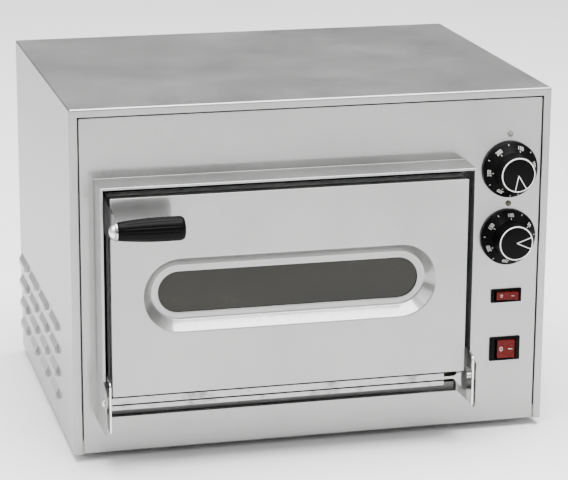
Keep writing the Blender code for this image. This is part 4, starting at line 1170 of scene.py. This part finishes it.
def make_gland():
    """The inlet gland: a flange, a ribbed body and a domed nut around a bore."""
    low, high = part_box("cable_gland")
    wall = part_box("rear_panel")[1].y
    x, _, z = middle("cable_gland")
    centre = (x, wall, z)
    reach = high.y - wall
    inward = low.y - wall
    wide = (high.x - low.x) / 2
    profile = [
        (0.0045, reach - 0.0004), (0.0050, reach), (0.0072, reach), (0.0080, reach - 0.0006),
        (0.0088, reach - 0.0025), (0.0088, 0.0062), (0.0084, 0.0058), (wide - 0.0004, 0.0055),
        (wide, 0.0051), (wide, 0.0008), (wide - 0.0004, 0.0003), (0.0064, 0.0003),
        (0.0064, inward + 0.0004), (0.0060, inward), (0.0048, inward), (0.0045, inward + 0.0003),
        (0.0045, reach - 0.0004),
    ]

    def ripple(angle, height):
        if 0.0060 < height < reach - 0.0015:
            return 1 - 0.03 * max(0.0, math.cos(angle * 12))
        if 0.0004 < height < 0.0056:
            return 1 - 0.05 * abs(math.sin(angle * 3)) ** 2
        return 1.0

    gland = revolve("inlet_gland", profile, centre, (0, 1, 0), ("gland_plastic",), 144, 40, ripple)
    return show(gland, "cabinet", "gland_plastic", "cable_gland")


def make_earth_stud():
    """A threaded stud with its nut and washer."""
    low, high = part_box("earth_stud")
    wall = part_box("rear_panel")[1].y
    x, _, z = middle("earth_stud")
    centre = (x, wall, z)
    reach = high.y - wall
    inward = low.y - wall
    profile = [(0, reach), (0.0024, reach)]
    y = reach - 0.0005
    while y > 0.0068:
        profile += [(0.0030, y), (0.0026, y - 0.00035)]
        y -= 0.0007
    profile += [
        (0.0030, 0.0062), (0.0052, 0.0060), (0.0058, 0.0054), (0.0058, 0.0014), (0.0054, 0.0008),
        (0.0068, 0.0008), (0.0070, 0.0006), (0.0070, 0.0004), (0.0068, 0.0003), (0.0030, 0.0003),
        (0.0030, inward), (0, inward),
    ]

    def ripple(angle, height):
        if 0.0010 < height < 0.0061:
            folded = (angle + math.pi / 6) % (math.pi / 3) - math.pi / 6
            return 0.88 / max(0.88, math.cos(folded)) if height < 0.0055 else 1.0
        return 1.0

    stud = revolve("earth_screw", profile, centre, (0, 1, 0), ("brass",), 96, 30, ripple)
    return show(stud, "cabinet", "brass", "earth_stud")


# --- Chamber ---


def element_route(low, high, radius):
    """The element's centre line in plan, from its box: out of the right wall, in loops and back."""
    left, right = low.x + radius, high.x
    near, far = low.y + radius, high.y - radius
    bend = 0.012
    inner_right = right - 0.060
    inner_left = left + 0.050
    pitch = 0.055
    returning = far - 0.025
    corners = [(right, far), (left, far), (left, near), (inner_right, near)]
    y = near + pitch
    corners += [(inner_right, y), (inner_left, y), (inner_left, y + pitch), (inner_right, y + pitch)]
    y += 2 * pitch
    corners += [(inner_right, y), (inner_left, y), (inner_left, returning), (right, returning)]
    path = [corners[0]]
    for before, corner, after in zip(corners, corners[1:], corners[2:]):
        here = Vector(corner)
        arrive = (Vector(before) - here).normalized()
        leave = (Vector(after) - here).normalized()
        room = min(bend, (Vector(before) - here).length / 2, (Vector(after) - here).length / 2)
        centre = here + room * (arrive + leave)
        for i in range(9):
            turn = math.pi / 2 * i / 8
            path.append(tuple(centre - room * (leave * math.cos(turn) + arrive * math.sin(turn))))
    path.append(corners[-1])
    return path


def make_element(label):
    """A sheathed element, round and smooth along its bends."""
    low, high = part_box(label + "_heating_element")
    radius = (high.z - low.z) / 2
    z = (low.z + high.z) / 2
    curve = bpy.data.curves.new(label + "_element_route", "CURVE")
    curve.dimensions = "3D"
    curve.bevel_depth = radius
    curve.bevel_resolution = 4
    curve.use_fill_caps = True
    path = element_route(low, high, radius)
    spline = curve.splines.new("POLY")
    spline.points.add(len(path) - 1)
    for point, (x, y) in zip(spline.points, path):
        point.co = (x, y, z, 1)
    guide = bpy.data.objects.new(label + "_element_route", curve)
    bpy.context.scene.collection.objects.link(guide)
    mesh = bpy.data.meshes.new_from_object(guide.evaluated_get(bpy.context.evaluated_depsgraph_get()))
    bpy.data.objects.remove(guide, do_unlink=True)
    bm = bmesh.new()
    bm.from_mesh(mesh)
    bpy.data.meshes.remove(mesh)
    bmesh.ops.remove_doubles(bm, verts=bm.verts, dist=0.000005)
    bmesh.ops.recalc_face_normals(bm, faces=bm.faces)
    element = finish_mesh(label + "_element_tube", bm, ("element",), 50)
    return show(element, "cabinet", "element", label + "_heating_element")


def make_lamp():
    """The chamber lamp: its screwed glass cover."""
    low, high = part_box("lamp_cover_glass")
    x, _, z = middle("lamp_cover_glass")
    centre = (x, high.y, z)
    radius = (high.x - low.x) / 2
    depth = high.y - low.y
    outer = []
    for i in range(13):
        a = math.pi / 2 * i / 12
        outer.append((radius * 0.92 * math.sin(a), depth * (0.16 + 0.84 * math.cos(a))))
    wall = 0.0022
    inner = []
    for i in range(12, -1, -1):
        a = math.pi / 2 * i / 12
        height = (depth * 0.84 - wall) * math.cos(a) + depth * 0.10
        inner.append(((radius * 0.92 - wall) * math.sin(a), height))
    profile = outer + [(radius, depth * 0.14), (radius, 0.0002), (radius - wall * 1.2, 0)] + inner
    cover = revolve("lamp_glass", profile, centre, (0, -1, 0), ("clear_glass",), 64, 40)
    return show(cover, "cabinet", "clear_glass", "lamp_cover_glass")


# --- Nodes that keep their CAD shape ---

# A material, the width of the rounded edges (0 for none) and the nodes that take them
KEPT = (
    ("sill_steel", 0.0002, "door_sill"),
    ("bracket_steel", 0.0004, "handle_bracket"),
    ("door_liner", 0.0003, "door_inner_liner"),
    ("chamber_liner", 0.0, "chamber_liner"),
    ("chamber_steel", 0.0003, "stone_rail_left", "stone_rail_right"),
    ("galvanised", 0.0002, "rear_panel"),
    ("galvanised", 0.0003, "base_pan", "window_clamp"),
    ("galvanised", 0.0, "control_partition"),
    ("stone", 0.0012, "baking_stone"),
    ("gasket", 0.0006, "chamber_gasket"),
    ("wool", 0.003, "insulation_top", "insulation_bottom", "insulation_left", "insulation_right"),
    ("wool", 0.0, "insulation_rear", "door_insulation"),
    ("bright_steel", 0.0, "lamp_holder"),
    ("clear_glass", 0.0, "lamp_bulb"),
    ("nylon", 0.0002, "hinge_washer_left", "hinge_washer_right"),
    ("ceramic", 0.0008, "upper_thermostat", "lower_thermostat"),
    ("bright_steel", 0.0002, "upper_thermostat_shaft", "lower_thermostat_shaft"),
    ("copper", 0.0, "upper_sensor", "lower_sensor"),
    ("gland_plastic", 0.0004, "gland_locknut"),
    ("ceramic", 0.0005, "terminal_block"),
)


def dress_kept_nodes():
    """Gives every node that keeps its CAD shape its finish."""
    for slot, bevel, *nodes in KEPT:
        for node in nodes:
            dress(node, slot, bevel)


# --- Stage ---


def make_floor():
    """A wide pale floor, faintly uneven in tone."""
    bm = bmesh.new()
    bmesh.ops.create_grid(bm, x_segments=8, y_segments=8, size=12.0)
    mesh = bpy.data.meshes.new("floor")
    bm.to_mesh(mesh)
    bm.free()
    g = Graph("pale_floor")
    g.set("Base Color", g.ramp(g.noise(3.0), [(0.3, (0.88, 0.88, 0.88)), (0.7, (0.91, 0.91, 0.91))]))
    g.set("Roughness", 0.85)
    mesh.materials.append(g.material)
    floor = bpy.data.objects.new("floor", mesh)
    bpy.context.scene.collection.objects.link(floor)


def make_world():
    """Soft surroundings: brighter overhead than near the horizon."""
    world = bpy.data.worlds.new("studio")
    bpy.context.scene.world = world
    world.use_nodes = True
    tree = world.node_tree
    background = tree.nodes["Background"]
    direction = tree.nodes.new("ShaderNodeTexCoord").outputs["Generated"]
    split = tree.nodes.new("ShaderNodeSeparateXYZ")
    tree.links.new(direction, split.inputs["Vector"])
    ramp = tree.nodes.new("ShaderNodeValToRGB")
    low, high = ramp.color_ramp.elements
    low.position, low.color = 0.0, (0.24, 0.24, 0.24, 1)
    high.position, high.color = 0.9, (2.4, 2.4, 2.4, 1)
    ramp.color_ramp.elements.new(0.35).color = (0.34, 0.34, 0.34, 1)
    tree.links.new(split.outputs["Z"], ramp.inputs["Fac"])
    tree.links.new(ramp.outputs["Color"], background.inputs["Color"])
    background.inputs["Strength"].default_value = 1.0


def area_light(name, place, target, size, energy):
    """A soft rectangular light that faces a point."""
    data = bpy.data.lights.new(name, "AREA")
    data.shape = "RECTANGLE"
    data.size, data.size_y = size
    data.energy = energy
    light = bpy.data.objects.new(name, data)
    light.location = place
    light.rotation_euler = (Vector(target) - Vector(place)).to_track_quat("-Z", "Y").to_euler()
    bpy.context.scene.collection.objects.link(light)


def make_lights():
    """A broad light overhead and two weaker ones at the left and in front."""
    area_light("overhead", (0.0, -0.3, 2.6), (0, 0, 0), (2.2, 2.2), 190)
    area_light("left_fill", (-2.4, -0.6, 1.6), (0, 0, 0.15), (1.6, 1.6), 22)
    area_light("front_fill", (1.2, -2.6, 1.7), (0, 0, 0.15), (1.6, 1.2), 14)


def make_camera():
    """The camera, from its place, direction, roll and lens."""
    azimuth, elevation, roll = (
        math.radians(a) for a in (CAMERA_AZIMUTH, CAMERA_ELEVATION, CAMERA_ROLL)
    )
    back = Vector(
        (
            math.sin(azimuth) * math.cos(elevation),
            -math.cos(azimuth) * math.cos(elevation),
            math.sin(elevation),
        )
    )
    right = (-back).cross(Vector((0, 0, 1))).normalized()
    up = right.cross(-back)
    rolled_right = math.cos(roll) * right + math.sin(roll) * up
    rolled_up = -math.sin(roll) * right + math.cos(roll) * up
    turn = Matrix((rolled_right, rolled_up, back)).transposed().to_4x4()
    data = bpy.data.cameras.new("camera")
    data.lens = CAMERA_LENS
    data.sensor_width = 36.0
    camera = bpy.data.objects.new("camera", data)
    camera.matrix_world = Matrix.Translation(Vector(CAMERA_PLACE)) @ turn
    bpy.context.scene.collection.objects.link(camera)
    bpy.context.scene.camera = camera


def main():
    make_camera()
    make_floor()
    make_world()
    make_lights()
    dress_kept_nodes()
    make_shell()
    make_front_panel()
    make_surround()
    make_door_skin()
    make_pane("outer_pane", "window_glass_outer", "tinted_glass", 0.0004)
    make_pane("inner_pane", "window_glass_inner", "clear_glass", 0.0004)
    make_grip()
    make_bolt()
    for side in ("left", "right"):
        make_hinge_arm(side)
        make_hinge_pin(side)
    make_knob("upper", 169.6)
    make_knob("lower", 92.5)
    make_switch("lamp")
    make_switch("main")
    make_pilot("upper", "grey_lens")
    make_pilot("lower", "olive_lens")
    for node in ("foot_front_left", "foot_front_right", "foot_rear_left", "foot_rear_right"):
        make_foot(node)
    make_gland()
    make_earth_stud()
    make_element("lower")
    make_element("upper")
    make_lamp()


main()
